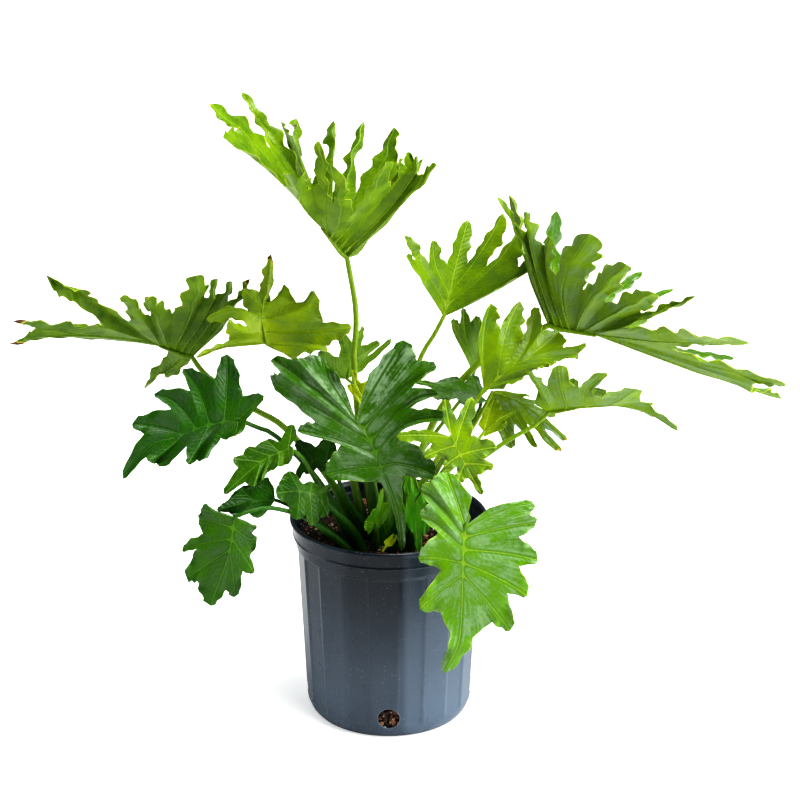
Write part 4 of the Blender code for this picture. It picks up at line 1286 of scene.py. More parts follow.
        upper=(0, -1, 0.4),
        reach=0.4,
        cut=0.7,
        lobe_width=1,
        stalk=[(408, 484, -3.8), (402, 510, -3.8)],
        stalk_radius=(2.8, 1.8),
        root=(300, 13),
    ),
    dict(
        name="leaf_crown_front",
        age=0.98,
        junction=(394, 536, -8.4),
        midrib=[(388, 544, -9), (382, 552, -9.4)],
        left=[(392, 546, -9)],
        right=[(384, 542, -8.6)],
        upper=(0, -1, 0.6),
        reach=0.4,
        cut=0.6,
        stalk=[(398, 543, -7.6)],
        stalk_radius=(2.6, 1.6),
        root=(272, 27),
    ),
]


def seen(across, down, depth):
    """The point on the line of sight through this place in the view that lies this many centimetres back."""
    ahead = Vector((0, math.cos(EYE_DIP), -math.sin(EYE_DIP)))
    upward = Vector((0, math.sin(EYE_DIP), math.cos(EYE_DIP)))
    sight = ahead + Vector((1, 0, 0)) * ((across - VIEW_SIZE / 2) / EYE_FOCUS)
    sight += upward * ((VIEW_SIZE / 2 - down) / EYE_FOCUS)
    return EYE + sight * ((depth * CENTIMETRE - EYE.y) / sight.y)


def through(before, a, b, after, u):
    """A smooth curve's value between a and b, with its neighbours before and after."""
    bent = (b - before) * u + (before * 2 - a * 5 + b * 4 - after) * u**2
    return 0.5 * (a * 2 + bent + (a * 3 - before - b * 3 + after) * u**3)


def along(points, fraction):
    """The point this far along a smooth curve through the points, by their spacing."""
    lengths = [(b - a).length for a, b in zip(points, points[1:])]
    left = fraction * sum(lengths)
    span = 0
    while span < len(lengths) - 1 and left > lengths[span]:
        left -= lengths[span]
        span += 1
    a, b = points[span], points[span + 1]
    before = points[span - 1] if span else a * 2 - b
    after = points[span + 2] if span + 2 < len(points) else b * 2 - a
    return through(before, a, b, after, left / lengths[span])


def curved(values, fraction):
    """The value this far along a list of evenly spaced ones."""
    place = fraction * (len(values) - 1)
    first = min(int(place), len(values) - 2)
    a, b = values[first], values[first + 1]
    before = values[first - 1] if first else a
    after = values[first + 2] if first + 2 < len(values) else b
    return through(before, a, b, after, place - first)


def smooth(value, low, high):
    """0 below the low end, 1 above the high end, eased between."""
    share = min(max((value - low) / (high - low), 0), 1)
    return share * share * (3 - 2 * share)


def width_share(widths, part):
    """The edge's distance from its rib, as a share: through the widths, then rounded in to the tip."""
    if part <= TIP_START:
        return curved(widths, part)
    return curved(widths, TIP_START) * (1 - ((part - TIP_START) / (1 - TIP_START)) ** TIP_ROUNDING)


def turn_to_camera(axis, start, offsets):
    """The angle about a lobe's length that would turn its breadth to face the camera."""
    facing = axis.cross(start - EYE)
    breadth = offsets[1] - offsets[0]
    if facing.dot(breadth) < 0:
        facing = -facing
    breadth -= axis * breadth.dot(axis)
    return math.atan2(axis.dot(breadth.cross(facing)), breadth.dot(facing))


class Blade:
    """A lobed blade's surface. Its lobes leave the midrib in pairs, and a notch parts each from the next.

    The grid method lays out one lobe, and adds the line of its rib to ribs.
    """

    def __init__(self, leaf):
        self.leaf = leaf
        self.midrib = [seen(*leaf["junction"])] + [seen(*point) for point in leaf["midrib"]]
        self.tips = {side: [seen(*point) for point in leaf[side]] for side in ("left", "right")}
        self.pairs = len(leaf["left"])
        self.normal = self.upper_side()
        self.notches = {side: self.side_notches(side) for side in ("left", "right")}
        self.ribs = []

    def upper_side(self):
        """The direction that the upper side faces."""
        lengthwise = self.midrib[-1] - self.midrib[0]
        middles = [sum(self.tips[side], Vector()) / self.pairs for side in ("left", "right")]
        normal = lengthwise.cross(middles[1] - middles[0]).normalized()
        return normal if normal.dot(Vector(self.leaf["upper"])) > 0 else -normal

    def station(self, half_steps):
        """How far along the midrib a lobe starts (even half steps) or two lobes meet (odd ones)."""
        return self.leaf["reach"] * max(half_steps, 0) / (2 * self.pairs - 1)

    def rib(self, side, lobe, fraction):
        """A point on the lobe's rib. The terminal lobe's rib is the end of the midrib."""
        if lobe == self.pairs:
            return along(self.midrib, self.leaf["reach"] + (1 - self.leaf["reach"]) * fraction)
        start = along(self.midrib, self.station(2 * lobe))
        tip = self.tips[side][lobe]
        forward = (self.midrib[-1] - self.midrib[0]).normalized()
        bend = (start + tip) / 2 - forward * RIB_BOW * (tip - start).length
        passed = self.leaf.get(side + "_bends", {}).get(lobe)
        if passed:
            bend = seen(*passed, (start.y + tip.y) / 2 / CENTIMETRE) * 2 - (start + tip) / 2
        return start * (1 - fraction) ** 2 + bend * 2 * fraction * (1 - fraction) + tip * fraction**2

    def side_notches(self, side):
        """The notches from the base on. The first is the shoulder, across the first rib from the next."""
        tips = self.tips[side] + [self.midrib[-1]]
        notches = []
        for lobe in range(self.pairs):
            start = along(self.midrib, self.station(2 * lobe + 1))
            notch = start.lerp((tips[lobe] + tips[lobe + 1]) / 2, self.leaf["cut"])
            given = self.leaf.get(side + "_notches")
            if given and given[lobe]:
                notch = seen(*given[lobe], notch.y / CENTIMETRE)
            notches.append(notch)
        middle = self.rib(side, 0, 0.4)
        shoulder = middle - (notches[0] - middle) * 0.7
        given = self.leaf.get(side + "_shoulder")
        if given:
            shoulder = seen(*given, shoulder.y / CENTIMETRE)
        return [shoulder] + notches

    def edge_shape(self, side, lobe, edge, slenderness):
        """The edge's widths and ruffle at even steps from its notch to the tip, and where its waves start.

        A lobe no longer past its notches than it is broad is blunt. One three times as long is a finger.
        """
        chance = random.Random(f"{self.leaf['name']} {side} {lobe} {edge}")
        given = self.leaf.get(side + "_widths", {})
        slender_share = min(max((slenderness - 1) / 2, 0), 1)
        if lobe in self.leaf.get("tapered", ()):
            slender_share = 0
        slender = slender_share * given.get(lobe, self.leaf.get("lobe_width", LOBE_WIDTH))
        blunt = (1 - slender_share) * given.get(lobe, 1)
        widths = [1]
        for (least, most), blunt_width in zip(SLENDER_WIDTHS, BLUNT_WIDTHS):
            widths.append(chance.uniform(least, most) * slender + blunt_width * blunt)
        widths.append(widths[-1])
        ruffle = [0] + [chance.uniform(-1, 1) for _ in range(3)] + [0]
        return widths, ruffle, chance.uniform(0, math.tau)

    def grid(self, side, lobe):
        """The lobe's points, in rows from the midrib to the tip, each from its back edge to its fore edge.

        Each point comes with its distance from the rib and along it, how far it is from a free edge, which
        is 0, and how far past the notches towards the tip, which is 1.
        """
        if lobe == self.pairs:
            ends = (self.notches["left"][-1], self.notches["right"][-1])
            bases = (self.station(2 * lobe - 1),) * 3
        else:
            ends = (self.notches[side][lobe], self.notches[side][lobe + 1])
            bases = (self.station(2 * lobe - 1), self.station(2 * lobe), self.station(2 * lobe + 1))
        start, tip = self.rib(side, lobe, 0), self.rib(side, lobe, 1)
        chord = tip - start
        reached = [(end - start).dot(chord) / chord.length_squared for end in ends]
        reached = [min(max(share, NEAREST_NOTCH), FURTHEST_NOTCH) for share in reached]
        centre = sum(reached) / 2
        across = ends[1] - ends[0]
        across -= chord * (across.dot(chord) / chord.length_squared)
        place = (self.rib(side, lobe, centre) - ends[0]).dot(across) / across.length_squared
        shift = across * (min(max(place, RIB_FROM_NOTCH), 1 - RIB_FROM_NOTCH) - place)
        free_length = (1 - centre) * chord.length
        swing = random.Random(f"{self.leaf['name']} {side} {lobe}").uniform(0, math.tau)
        sway = across.normalized() * self.leaf.get("sway", 0)

        def spine(part):
            """The rib, moved sideways where it would pass outside its notches, and swaying past them."""
            near = part / centre if part < centre else (1 - part) / (1 - centre)
            beyond = max((part - centre) / (1 - centre), 0)
            phase = beyond * free_length / SWAY_LENGTH * math.tau + swing
            swayed = sway * math.sin(beyond * math.pi) * math.sin(phase)
            return self.rib(side, lobe, part) + shift * math.sin(near * math.pi / 2) + swayed

        offsets = [end - spine(part) for end, part in zip(ends, reached)]
        axis = chord.normalized()
        rolled_share = self.leaf.get("rolls", {}).get((side, lobe), 0)
        roll = turn_to_camera(axis, start, offsets) * rolled_share
        width = (offsets[0] - offsets[1]).length / 2
        normal = chord.cross(offsets[1] - offsets[0]).normalized()
        if normal.dot(self.normal) < 0:
            normal = -normal
        slenderness = free_length / width / 2
        shapes = [self.edge_shape(side, lobe, edge, slenderness) for edge in range(2)]
        rows_out = min(max(round(free_length / ROW_LENGTH), FEWEST_ROWS), MOST_ROWS)
        waves = free_length / self.leaf.get("wave_length", WAVE_LENGTH) * math.tau
        wave_height = self.leaf.get("wave", WAVE_HEIGHT)
        ripple_share = self.leaf.get("ripple", RIPPLE)
        ruffle_share = self.leaf.get("ruffle", RUFFLE)
        fold_share = self.leaf.get("fold", FOLD)
        twist = self.leaf.get("twist", 0)

        # Up to the notches the edges are shared with the next lobes. Past them each edge runs free, and its
        # waves come in from the notch and die out at the tip.
        rows = []
        for row in range(ROWS_TO_NOTCH + rows_out + 1):
            lifts = [Vector(), Vector()]
            if row <= ROWS_TO_NOTCH:
                part = row / ROWS_TO_NOTCH
                edges = [along(self.midrib, bases[edge * 2]).lerp(ends[edge], part) for edge in range(2)]
                middle = spine(centre * part)
                fold = part
            else:
                part = (row - ROWS_TO_NOTCH) / rows_out
                edges = []
                fade = min(part * 5, 1) * min((1 - part) * 3, 1)
                shares = [width_share(shapes[edge][0], part) for edge in range(2)]
                for edge in range(2):
                    foot = spine(reached[edge] + (1 - reached[edge]) * part)
                    phase = waves * part + shapes[edge][2]
                    ripple = 1 + fade * ripple_share * math.sin(phase)
                    rolled = Quaternion(axis, roll * smooth(part, 0, ROLL_FADE)) @ offsets[edge]
                    rolled *= 1 - rolled_share * ROLLED_NARROWING * smooth(part, 0, NARROWING_FADE)
                    edges.append(foot + rolled * shares[edge] * ripple)
                    broad = curved(shapes[edge][1], part) * width * ruffle_share
                    turned_up = math.sin(swing + part * math.pi * 1.5) * twist
                    broad += turned_up * (2 * edge - 1) * fade * shares[edge] * offsets[edge].length
                    wave = fade * wave_height * math.sin(phase * 0.9 + 1.3)
                    lifts[edge] = normal * (broad + wave)
                middle = spine(centre + (1 - centre) * part)
                fold = sum(shares) / 2
            line = []
            rib_point = middle - normal * width * fold * fold_share * (row > 0)
            run = (rib_point - start).length
            for column in range(-len(COLUMN_SHARES) + 1, len(COLUMN_SHARES)):
                edge = 0 if column < 0 else 1
                share = COLUMN_SHARES[abs(column)]
                if row == 0:
                    base = bases[1] + (bases[edge * 2] - bases[1]) * share
                    point = along(self.midrib, base)
                else:
                    sink = normal * width * fold * fold_share * (1 - share) ** 2
                    point = middle.lerp(edges[edge], share) + lifts[edge] * share**2 - sink
                away = (point - rib_point).length if row else 0
                past_notch = row > ROWS_TO_NOTCH
                line.append((point, away, run, 1 - share * past_notch, part * past_notch))
            rows.append(line)
        rows[-1] = [(tip, 0, rows[-1][0][2], 1, 1)] * len(rows[-1])
        self.ribs.append([row[len(COLUMN_SHARES) - 1][0] for row in rows])
        return rows


def blade_mesh(leaf, blade, finishes):
    """The blade as a thin solid, its upper side in the first finish and its underside in the second.

    Each point keeps how far it lies off its rib and along it, how near to the edge, how withered it is, its
    age and how much sheen is painted on it. The end lobe is laid out last.
    """
    bm = bmesh.new()
    names = ("rib_off", "rib_run", "margin", "dry", "age", "painted_sheen")
    layers = [bm.verts.layers.float.new(name) for name in names]
    lobes = [(side, lobe) for side in ("left", "right") for lobe in range(blade.pairs)]
    lobes.append(("left", blade.pairs))
    dry = leaf.get("dry", {})
    painted_sheens = leaf.get("painted_sheen", {})
    own_ages = leaf.get("lobe_ages", {})
    chance = random.Random(leaf["name"])
    for side, lobe in lobes:
        start = dry.get((side, lobe) if lobe < blade.pairs else "end", 2)
        lobe_age = chance.uniform(-LOBE_AGE_SPREAD, LOBE_AGE_SPREAD) + own_ages.get((side, lobe), 0)
        painted_sheen = painted_sheens.get((side, lobe), painted_sheens.get("all", 0))
        rows = []
        for line in blade.grid(side, lobe):
            made = []
            for point, away, run, margin, part in line:
                vertex = bm.verts.new(point)
                heart = 1 - smooth((point - blade.midrib[0]).length, 0, HEART_SIZE)
                age = leaf["age"] + lobe_age * smooth(part, 0, LOBE_AGE_FADE) + HEART_AGE * heart
                withered = smooth(part, start, start + DRY_FADE)
                values = (away, run, margin, withered, age, painted_sheen)
                for layer, value in zip(layers, values):
                    vertex[layer] = value
                made.append(vertex)
            rows.append(made)
        for row, following in zip(rows, rows[1:]):
            for a, b, c, d in zip(row, row[1:], following[1:], following):
                bm.faces.new((a, b, c, d))
    bmesh.ops.remove_doubles(bm, verts=bm.verts, dist=0.00002)
    bmesh.ops.recalc_face_normals(bm, faces=bm.faces)
    if sum((face.normal * face.calc_area() for face in bm.faces), Vector()).dot(blade.normal) < 0:
        bmesh.ops.reverse_faces(bm, faces=bm.faces)
    source = piece_from(leaf["name"], bm)
    for finish in finishes:
        source.data.materials.append(finish)
    source.data.shade_smooth()
    solid = source.modifiers.new("thickness", "SOLIDIFY")
    solid.thickness = BLADE_THICKNESS
    solid.offset = 0
    solid.material_offset = 1
    return settled(source, leaf["name"] + "_blade")


def sweep_tree():
    """Carries a round section along each line of the source, as wide as the line's radius there."""
    tree, given, made = node_tree(
        "swept",
        "GeometryNodeTree",
        [
            ("Geometry", "NodeSocketGeometry", None),
            ("Sides", "NodeSocketInt", 6),
            ("Material", "NodeSocketMaterial", None),
        ],
        [("Geometry", "NodeSocketGeometry")],
    )
    lines = placed(tree, "GeometryNodeMeshToCurve", {0: given.outputs["Geometry"]})
    radius = placed(tree, "GeometryNodeInputNamedAttribute", {"Name": "radius"}, data_type="FLOAT")
    sides = given.outputs["Sides"]
    section = placed(tree, "GeometryNodeCurvePrimitiveCircle", {"Resolution": sides, "Radius": 1.0})
    tube = placed(
        tree,
        "GeometryNodeCurveToMesh",
        {
            "Curve": lines.outputs[0],
            "Profile Curve": section.outputs[0],
            "Scale": radius.outputs[0],
            "Fill Caps": True,
        },
    )
    shaded = placed(tree, "GeometryNodeSetShadeSmooth", {"Geometry": tube.outputs[0], "Shade Smooth": True})
    real = placed(tree, "GeometryNodeRealizeInstances", {0: shaded.outputs[0]})
    finish = given.outputs["Material"]
    finished = placed(tree, "GeometryNodeSetMaterial", {0: real.outputs[0], "Material": finish})
    tree.links.new(finished.outputs[0], made.inputs[0])
    return tree


SWEEP = sweep_tree()


def swept(name, lines, sides, finish):
    """Round stems along the lines, each a list of points and their radii."""
    mesh = bpy.data.meshes.new(name)
    points, edges, radii = [], [], []
    for line, widths in lines:
        edges += [(len(points) + step, len(points) + step + 1) for step in range(len(line) - 1)]
        points += line
        radii += widths
    mesh.from_pydata(points, edges, [])
    mesh.attributes.new("radius", "FLOAT", "POINT").data.foreach_set("value", radii)
    source = in_scene(name, mesh)
    return run_nodes(source, SWEEP, {"Sides": sides, "Material": finish}, name)


def stalk_line(leaf, blade):
    """The stalk's points and radii from its foot in the soil up to the blade, and on under the midrib."""
    turn, distance = leaf["root"]
    away = Vector((math.cos(math.radians(turn)), math.sin(math.radians(turn)), 0))
    ground = CROWN + away * distance * MILLIMETRE
    ground.z = soil_top(math.hypot(ground.x, ground.y))
    foot = ground - Vector((0, 0, FOOT_IN_SOIL))
    route = [ground] + [seen(*point) for point in reversed(leaf["stalk"])] + [seen(*leaf["junction"])]
    length = sum((b - a).length for a, b in zip(route, route[1:]))
    steps = round(length / STALK_STEP)
    base, end = (radius * MILLIMETRE for radius in leaf["stalk_radius"])
    path = [foot] + [along(route, step / steps) for step in range(steps + 1)]
    radii = [base * SHEATH_SWELL]
    for step in range(steps + 1):
        clear = smooth(length * step / steps, SHEATH_FULL, SHEATH_LENGTH)
        swell = 1 + (SHEATH_SWELL - 1) * (1 - clear)
        radii.append((base + (end - base) * step / steps) * swell)
    below = blade.normal * end
    for share, deep, thick in STALK_UNDER_BLADE:
        path.append(along(blade.midrib, share) - below * deep)
        radii.append(end * thick)
    return path, radii


def rib_lines(leaf, blade):
    """The midrib and each lobe's rib, as points and radii. They stand out more below the blade than above."""
    thick = leaf["stalk_radius"][1] * MILLIMETRE * MIDRIB_SHARE
    drop = leaf.get("rib_drop", RIB_DROP)
    lines = []
    for line in blade.ribs:
        length = sum((b - a).length for a, b in zip(line, line[1:]))
        root = min(thick * RIB_SHARE, RIB_START + length * RIB_GROWTH)
        steps = len(line) - 1
        radii = [root + (RIB_END - root) * (step / steps) ** RIB_TAPER for step in range(steps + 1)]
        lines.append([line, radii])
    reach = leaf["reach"]
    stem = [along(blade.midrib, reach * step / RIB_STEPS) for step in range(RIB_STEPS + 1)]
    end = lines[-1][1][0]
    lines.append([stem, [thick + (end - thick) * step / RIB_STEPS for step in range(RIB_STEPS + 1)]])
    for line in lines:
        line[0] = [point - blade.normal * radius * drop for point, radius in zip(*line)]
    return lines


# The colours of the tissue, its darker mottling and the ribs: at age 0, at age 1, then at ages between.
TISSUE = [
    (0.0, (0.004, 0.040, 0.001)), (1.0, (0.45, 0.55, 0.010)), (0.3, (0.022, 0.100, 0.001)),
    (0.6, (0.090, 0.190, 0.002)), (0.9, (0.205, 0.320, 0.003)),
]
MOTTLE = [
    (0.0, (0.002, 0.020, 0.0005)), (1.0, (0.30, 0.42, 0.006)), (0.3, (0.009, 0.055, 0.001)),
    (0.6, (0.040, 0.110, 0.001)), (0.9, (0.110, 0.205, 0.002)),
]
RIBS = [
    (0.0, (0.015, 0.075, 0.006)), (1.0, (0.60, 0.68, 0.060)), (0.3, (0.055, 0.155, 0.016)),
    (0.6, (0.190, 0.330, 0.030)), (0.9, (0.380, 0.500, 0.050)),
]
# The pale colour painted on as the sheen of the lamps mirrored in the glossy blade.
SHEEN_PAINT = (0.33, 0.46, 0.27, 1)
VIVID = (0.060, 0.420, 0.004, 1)
YELLOWED = (0.52, 0.42, 0.05, 1)
WITHERED = (0.11, 0.045, 0.016, 1)


def leaf_skin():
    """The pattern on every blade: mottled tissue, pale ribs and side veins, a painted sheen and dry tips."""
    tree, given, made = node_tree(
        "leaf_skin",
        "ShaderNodeTree",
        [
            ("Paler", "NodeSocketFloat", 0.0),
            ("Greener", "NodeSocketFloat", 0.0),
            ("Vein Width", "NodeSocketFloat", 0.0010),
            ("Side Veins", "NodeSocketFloat", 0.12),
            ("Side Vein Spacing", "NodeSocketFloat", 0.0068),
            ("Edge", "NodeSocketFloat", 0.45),
            ("Shine", "NodeSocketFloat", 0.3),
        ],
        [("Color", "NodeSocketColor"), ("Roughness", "NodeSocketFloat"), ("Height", "NodeSocketFloat")],
    )
    result = calculator(tree)

    def attribute(name):
        return placed(tree, "ShaderNodeAttribute", attribute_name=name).outputs["Fac"]

    # Clouds, fine grain and cells, and streaks that fan out from each rib.
    where = placed(tree, "ShaderNodeTexCoord").outputs["Object"]
    off = attribute("rib_off")
    run = attribute("rib_run")
    margin = attribute("margin")
    dry = attribute("dry")
    cloud = placed(tree, "ShaderNodeTexNoise", {"Vector": where, "Scale": 38.0, "Detail": 4.0}).outputs[0]
    fine = placed(tree, "ShaderNodeTexNoise", {"Vector": where, "Scale": 240.0, "Detail": 3.0}).outputs[0]
    spread = result("DIVIDE", off, result("ADD", run, 0.022))
    out, aside = result("MULTIPLY", run, 14.0), result("MULTIPLY", spread, 16.0)
    fanned = placed(tree, "ShaderNodeCombineXYZ", {0: out, 1: aside}).outputs[0]
    fan = placed(tree, "ShaderNodeTexNoise", {"Vector": fanned, "Scale": 1.0, "Detail": 3.0}).outputs[0]
    fan = result("MULTIPLY", result("SUBTRACT", fan, 0.5), eased_step(tree, run, 0.006, 0.035))
    cells = placed(
        tree, "ShaderNodeTexVoronoi", {"Vector": where, "Scale": 420.0}, feature="DISTANCE_TO_EDGE"
    ).outputs[0]

    # The mottled tissue in the leaf's own green.
    age = result("ADD", attribute("age"), given.outputs["Paler"])
    tissue, mottle, vein = (colour_at(tree, age, colours) for colours in (TISSUE, MOTTLE, RIBS))
    pale_rim = colour_at(tree, result("ADD", age, 0.3), RIBS)
    speckle = result("MULTIPLY", result("SUBTRACT", fine, 0.5), 0.8)
    depth = result("ADD", eased_step(tree, cloud, 0.3, 0.7), speckle)
    colour = mixed(tree, given.outputs["Greener"], mixed(tree, depth, tissue, mottle), VIVID)

    # Side veins slant forward from the rib, wander a little, and fade before the edge.
    slanted = result("SUBTRACT", run, result("MULTIPLY", off, 0.75))
    wander = result("MULTIPLY", result("SUBTRACT", cloud, 0.5), 0.009)
    spacing = given.outputs["Side Vein Spacing"]
    turn = result("FRACT", result("DIVIDE", result("ADD", slanted, wander), spacing))
    from_line = result("ABSOLUTE", result("SUBTRACT", turn, 0.5))
    side_line = result("SUBTRACT", 1.0, eased_step(tree, from_line, 0.02, 0.13))
    pillow = eased_step(tree, from_line, 0.0, 0.5)
    side_line = result("MULTIPLY", side_line, eased_step(tree, margin, 0.02, 0.3))
    side_line = result("MULTIPLY", side_line, eased_step(tree, fine, 0.35, 0.6))

    # The painted sheen, a pale reflection of the lamps in the gloss, lies in patches and leaves the ribs
    # clear.
    patch = result("ADD", cloud, result("MULTIPLY", fan, 0.75))
    patch = result("ADD", patch, result("MULTIPLY", result("SUBTRACT", fine, 0.5), 0.35))
    sheen_share = result("MULTIPLY", eased_step(tree, patch, 0.36, 0.70), eased_step(tree, off, 0.0005, 0.004))
    sheen_share = result("MULTIPLY", sheen_share, attribute("painted_sheen"))
    colour = mixed(tree, sheen_share, colour, SHEEN_PAINT)

    # The veins, the rib, the pale rim and the withered parts go over it.
    colour = mixed(tree, result("MULTIPLY", eased_step(tree, fan, 0.0, 0.25), 0.2), colour, vein)
    colour = mixed(tree, result("MULTIPLY", side_line, given.outputs["Side Veins"]), colour, vein)
    rib_width = given.outputs["Vein Width"]
    rib = eased_step(tree, off, result("MULTIPLY", rib_width, 0.4), rib_width)
    rib = result("SUBTRACT", 1.0, rib)
    colour = mixed(tree, result("MULTIPLY", rib, 0.7), colour, vein)
    rim = result("SUBTRACT", 1.0, eased_step(tree, margin, 0.01, 0.06))
    colour = mixed(tree, result("MULTIPLY", rim, given.outputs["Edge"]), colour, pale_rim)
    parched = result("ADD", dry, result("MULTIPLY", result("SUBTRACT", fine, 0.5), 0.5))
    colour = mixed(tree, eased_step(tree, parched, 0.2, 0.45), colour, YELLOWED)
    colour = mixed(tree, eased_step(tree, parched, 0.5, 0.8), colour, WITHERED)
    tree.links.new(colour, made.inputs["Color"])

    # Young leaves are glossier, and dry parts are dull. The tissue rises between the veins.
    rough = result("ADD", given.outputs["Shine"], result("MULTIPLY", result("SUBTRACT", cloud, 0.5), 0.22))
    rough = result("SUBTRACT", rough, result("MULTIPLY", eased_step(tree, age, 0.74, 0.95), 0.10))
    tree.links.new(result("ADD", rough, result("MULTIPLY", dry, 0.4)), made.inputs["Roughness"])
    height = result("ADD", result("MULTIPLY", pillow, 0.28), result("MULTIPLY", fine, 0.4))
    height = result("ADD", height, result("MULTIPLY", eased_step(tree, cells, 0.0, 0.25), 0.12))
    height = result("ADD", height, result("MULTIPLY", cloud, 1.6))
    height = result("ADD", height, result("MULTIPLY", fan, 0.3))
    tree.links.new(result("SUBTRACT", height, result("MULTIPLY", rib, 0.5)), made.inputs["Height"])
    return tree


SKIN = leaf_skin()


def skin_material(name, values):
    """A blade's finish: the leaf skin's colour, roughness and relief on a thin, light-scattering leaf."""
    made, tree, shader = finish_named(name)
    skin = placed(tree, "ShaderNodeGroup", node_tree=SKIN)
    for label, value in values.items():
        skin.inputs[label].default_value = value
    shader.inputs["Subsurface Weight"].default_value = 0.15
    shader.inputs["Subsurface Scale"].default_value = 0.0012
    shader.inputs["Subsurface Radius"].default_value = (0.6, 1.0, 0.15)
    shader.inputs["Specular IOR Level"].default_value = 0.22
    tree.links.new(skin.outputs["Color"], shader.inputs["Base Color"])
    tree.links.new(skin.outputs["Roughness"], shader.inputs["Roughness"])
    raised(tree, shader, skin.outputs["Height"], 0.0009, 0.6)
    return made


def stalk_material(name, shade_at_foot, streak_share):
    """A stalk's finish: painted shade where it leaves the soil under the leaves, its leaf's own green above,
    and finely streaked.
    """
    made, tree, shader = finish_named(name)
    result = calculator(tree)
    where = placed(tree, "ShaderNodeTexCoord").outputs["Object"]
    age = placed(tree, "ShaderNodeAttribute", attribute_name="age").outputs["Fac"]
    height = placed(tree, "ShaderNodeSeparateXYZ", {0: where}).outputs[2]
    drawn = placed(tree, "ShaderNodeMapping", {"Vector": where, "Scale": (1, 1, 0.12)}).outputs[0]
    streaks = placed(tree, "ShaderNodeTexNoise", {"Vector": drawn, "Scale": 320.0, "Detail": 3.0}).outputs[0]
    cloud = placed(tree, "ShaderNodeTexNoise", {"Vector": where, "Scale": 30.0, "Detail": 3.0}).outputs[0]
    # Low down, near the crown under the leaves, the stalk is painted darker as shade.
    share = eased_step(tree, result("ADD", height, result("MULTIPLY", cloud, 0.03)), 0.255, 0.40)
    shaded_age = result("MULTIPLY", age, result("ADD", shade_at_foot, result("MULTIPLY", share, 1.0 - shade_at_foot)))
    streak = result("MULTIPLY", eased_step(tree, streaks, 0.45, 0.75), streak_share)
    colour = mixed(tree, streak, colour_at(tree, shaded_age, TISSUE), colour_at(tree, shaded_age, RIBS))
    shader.inputs["Specular IOR Level"].default_value = 0.25
    tree.links.new(colour, shader.inputs["Base Color"])
    tree.links.new(result("ADD", 0.3, result("MULTIPLY", cloud, 0.2)), shader.inputs["Roughness"])
    raised(tree, shader, streaks, 0.0004, 0.4)
    return made


# Each pair is a blade's upper side and its underside: in open light, fresh and bright, and shaded. The shaded
# pair is painted a vivid green, for the light that shines through leaves in shade.
SKINS = {
    "open": [
        skin_material("leaf_upper_side", {"Shine": 0.28}),
        skin_material("leaf_underside", {"Paler": 0.03, "Side Veins": 0.14, "Shine": 0.45}),
    ],
    "fresh": [
        skin_material("fresh_upper_side", {"Greener": 0.16, "Shine": 0.22}),
        skin_material("fresh_underside", {"Greener": 0.14, "Shine": 0.40}),
    ],
    "shaded": [
        skin_material("shaded_upper_side", {"Greener": 0.42, "Shine": 0.30}),
        skin_material("shaded_underside", {"Greener": 0.38, "Shine": 0.42}),
    ],
}
STALK_SKIN = stalk_material("leaf_stalk", 0.40, 0.6)
RIB_SKIN = stalk_material("leaf_ribs", 0.9, 1.0)


def make_leaf(leaf):
    """The leaf's blade, stalk and ribs, joined as the one growth that they are."""
    blade = Blade(leaf)
    skins = SKINS[leaf.get("light", "open")]
    pieces = [
        blade_mesh(leaf, blade, skins),
        swept(leaf["name"] + "_stalk", [stalk_line(leaf, blade)], STALK_SIDES, STALK_SKIN),
        swept(leaf["name"] + "_ribs", rib_lines(leaf, blade), RIB_SIDES, RIB_SKIN),
    ]
    for stem in pieces[1:]:
        ages = stem.data.attributes.new("age", "FLOAT", "POINT")
        ages.data.foreach_set("value", [leaf["age"]] * len(stem.data.vertices))
    return joined(pieces, leaf["name"] + "_fine")


for leaf in LEAVES:
    made = make_leaf(leaf)
    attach(made, "root")
    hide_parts(leaf["name"])

# The floor and the light: a plain near-white paper floor under a pale sky that the camera sees brighter
# than the plant does. One broad light comes from high at the front right, as from a ceiling of lamps, a
# small one from overhead, and a soft one from each side, the right one stronger.
FLOOR_SIZE = 14


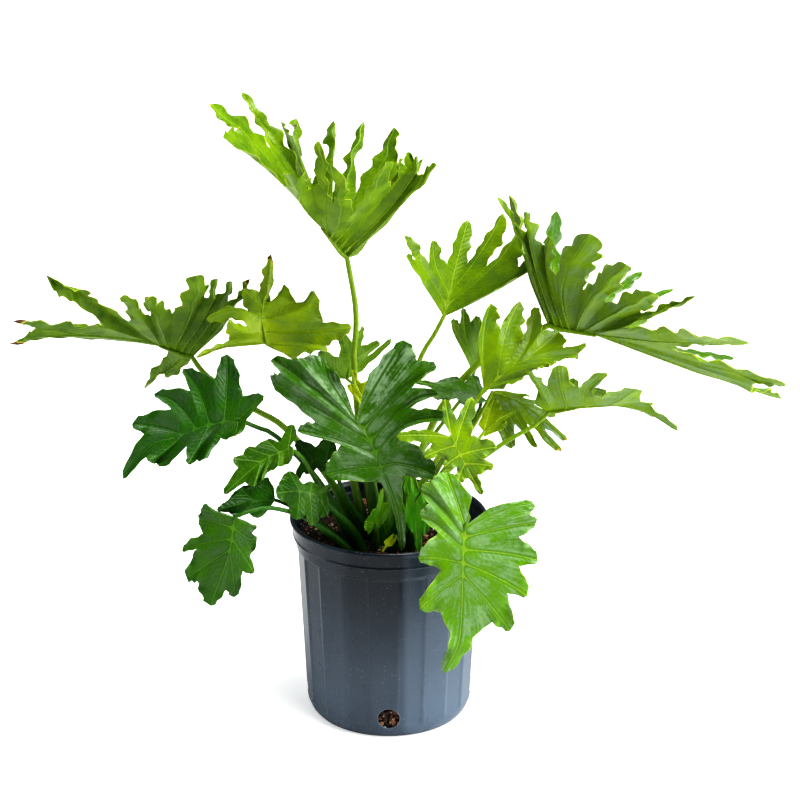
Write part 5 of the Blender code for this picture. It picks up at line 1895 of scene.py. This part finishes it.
def make_floor():
    """A flat sheet of paper that glows a little where the camera sees it."""
    mesh = bpy.data.meshes.new("floor")
    half = FLOOR_SIZE / 2
    corners = [(-half, -half, 0), (half, -half, 0), (half, half, 0), (-half, half, 0)]
    mesh.from_pydata(corners, [], [(0, 1, 2, 3)])
    floor = in_scene("floor", mesh)
    finish, tree, shader = finish_named("floor_paper")
    where = placed(tree, "ShaderNodeTexCoord").outputs["Object"]
    grain = placed(tree, "ShaderNodeTexNoise", {"Vector": where, "Scale": 3.0}).outputs[0]
    tone = mixed(tree, grain, (0.90, 0.90, 0.90, 1), (0.92, 0.92, 0.92, 1))
    tree.links.new(tone, shader.inputs["Base Color"])
    shader.inputs["Roughness"].default_value = 0.9
    camera_ray = placed(tree, "ShaderNodeLightPath").outputs["Is Camera Ray"]
    glow = calculator(tree)("MULTIPLY", camera_ray, 0.35)
    shader.inputs["Emission Color"].default_value = (1, 1, 1, 1)
    tree.links.new(glow, shader.inputs["Emission Strength"])
    mesh.materials.append(finish)
    return floor


def soft_light(name, place, aim, size, power):
    """A round white light of this size and power, in metres and watts."""
    data = bpy.data.lights.new(name, "AREA")
    data.shape = "DISK"
    data.size = size
    data.energy = power
    light = in_scene(name, data)
    light.location = place
    light.rotation_euler = (Vector(aim) - Vector(place)).to_track_quat("-Z", "Y").to_euler()


make_floor()
sun_data = bpy.data.lights.new("ceiling", "SUN")
sun_data.angle = math.radians(42)
sun_data.energy = 3.1
sun = in_scene("ceiling", sun_data)
sun.rotation_euler = (math.radians(10), math.radians(24), 0)
soft_light("overhead", place=(0.3, 0.2, 2.4), aim=(0, 0, 0.4), size=1.4, power=22)
soft_light("right_side", place=(2.5, -1.0, 0.6), aim=(0, 0, 0.2), size=1.7, power=54)
soft_light("left_side", place=(-2.5, -0.2, 0.8), aim=(0, 0, 0.2), size=1.6, power=18)
sky = bpy.data.worlds.new("pale_sky")
sky.use_nodes = True
sky_light = sky.node_tree.nodes["Background"]
sky_light.inputs["Color"].default_value = (0.92, 0.96, 1, 1)
sky_seen = placed(sky.node_tree, "ShaderNodeLightPath").outputs["Is Camera Ray"]
strength = placed(sky.node_tree, "ShaderNodeMapRange", {"Value": sky_seen, "To Min": 0.2, "To Max": 1.1})
sky.node_tree.links.new(strength.outputs[0], sky_light.inputs["Strength"])
bpy.context.scene.world = sky
bpy.context.scene.view_settings.view_transform = "Standard"
bpy.context.scene.view_settings.look = "High Contrast"
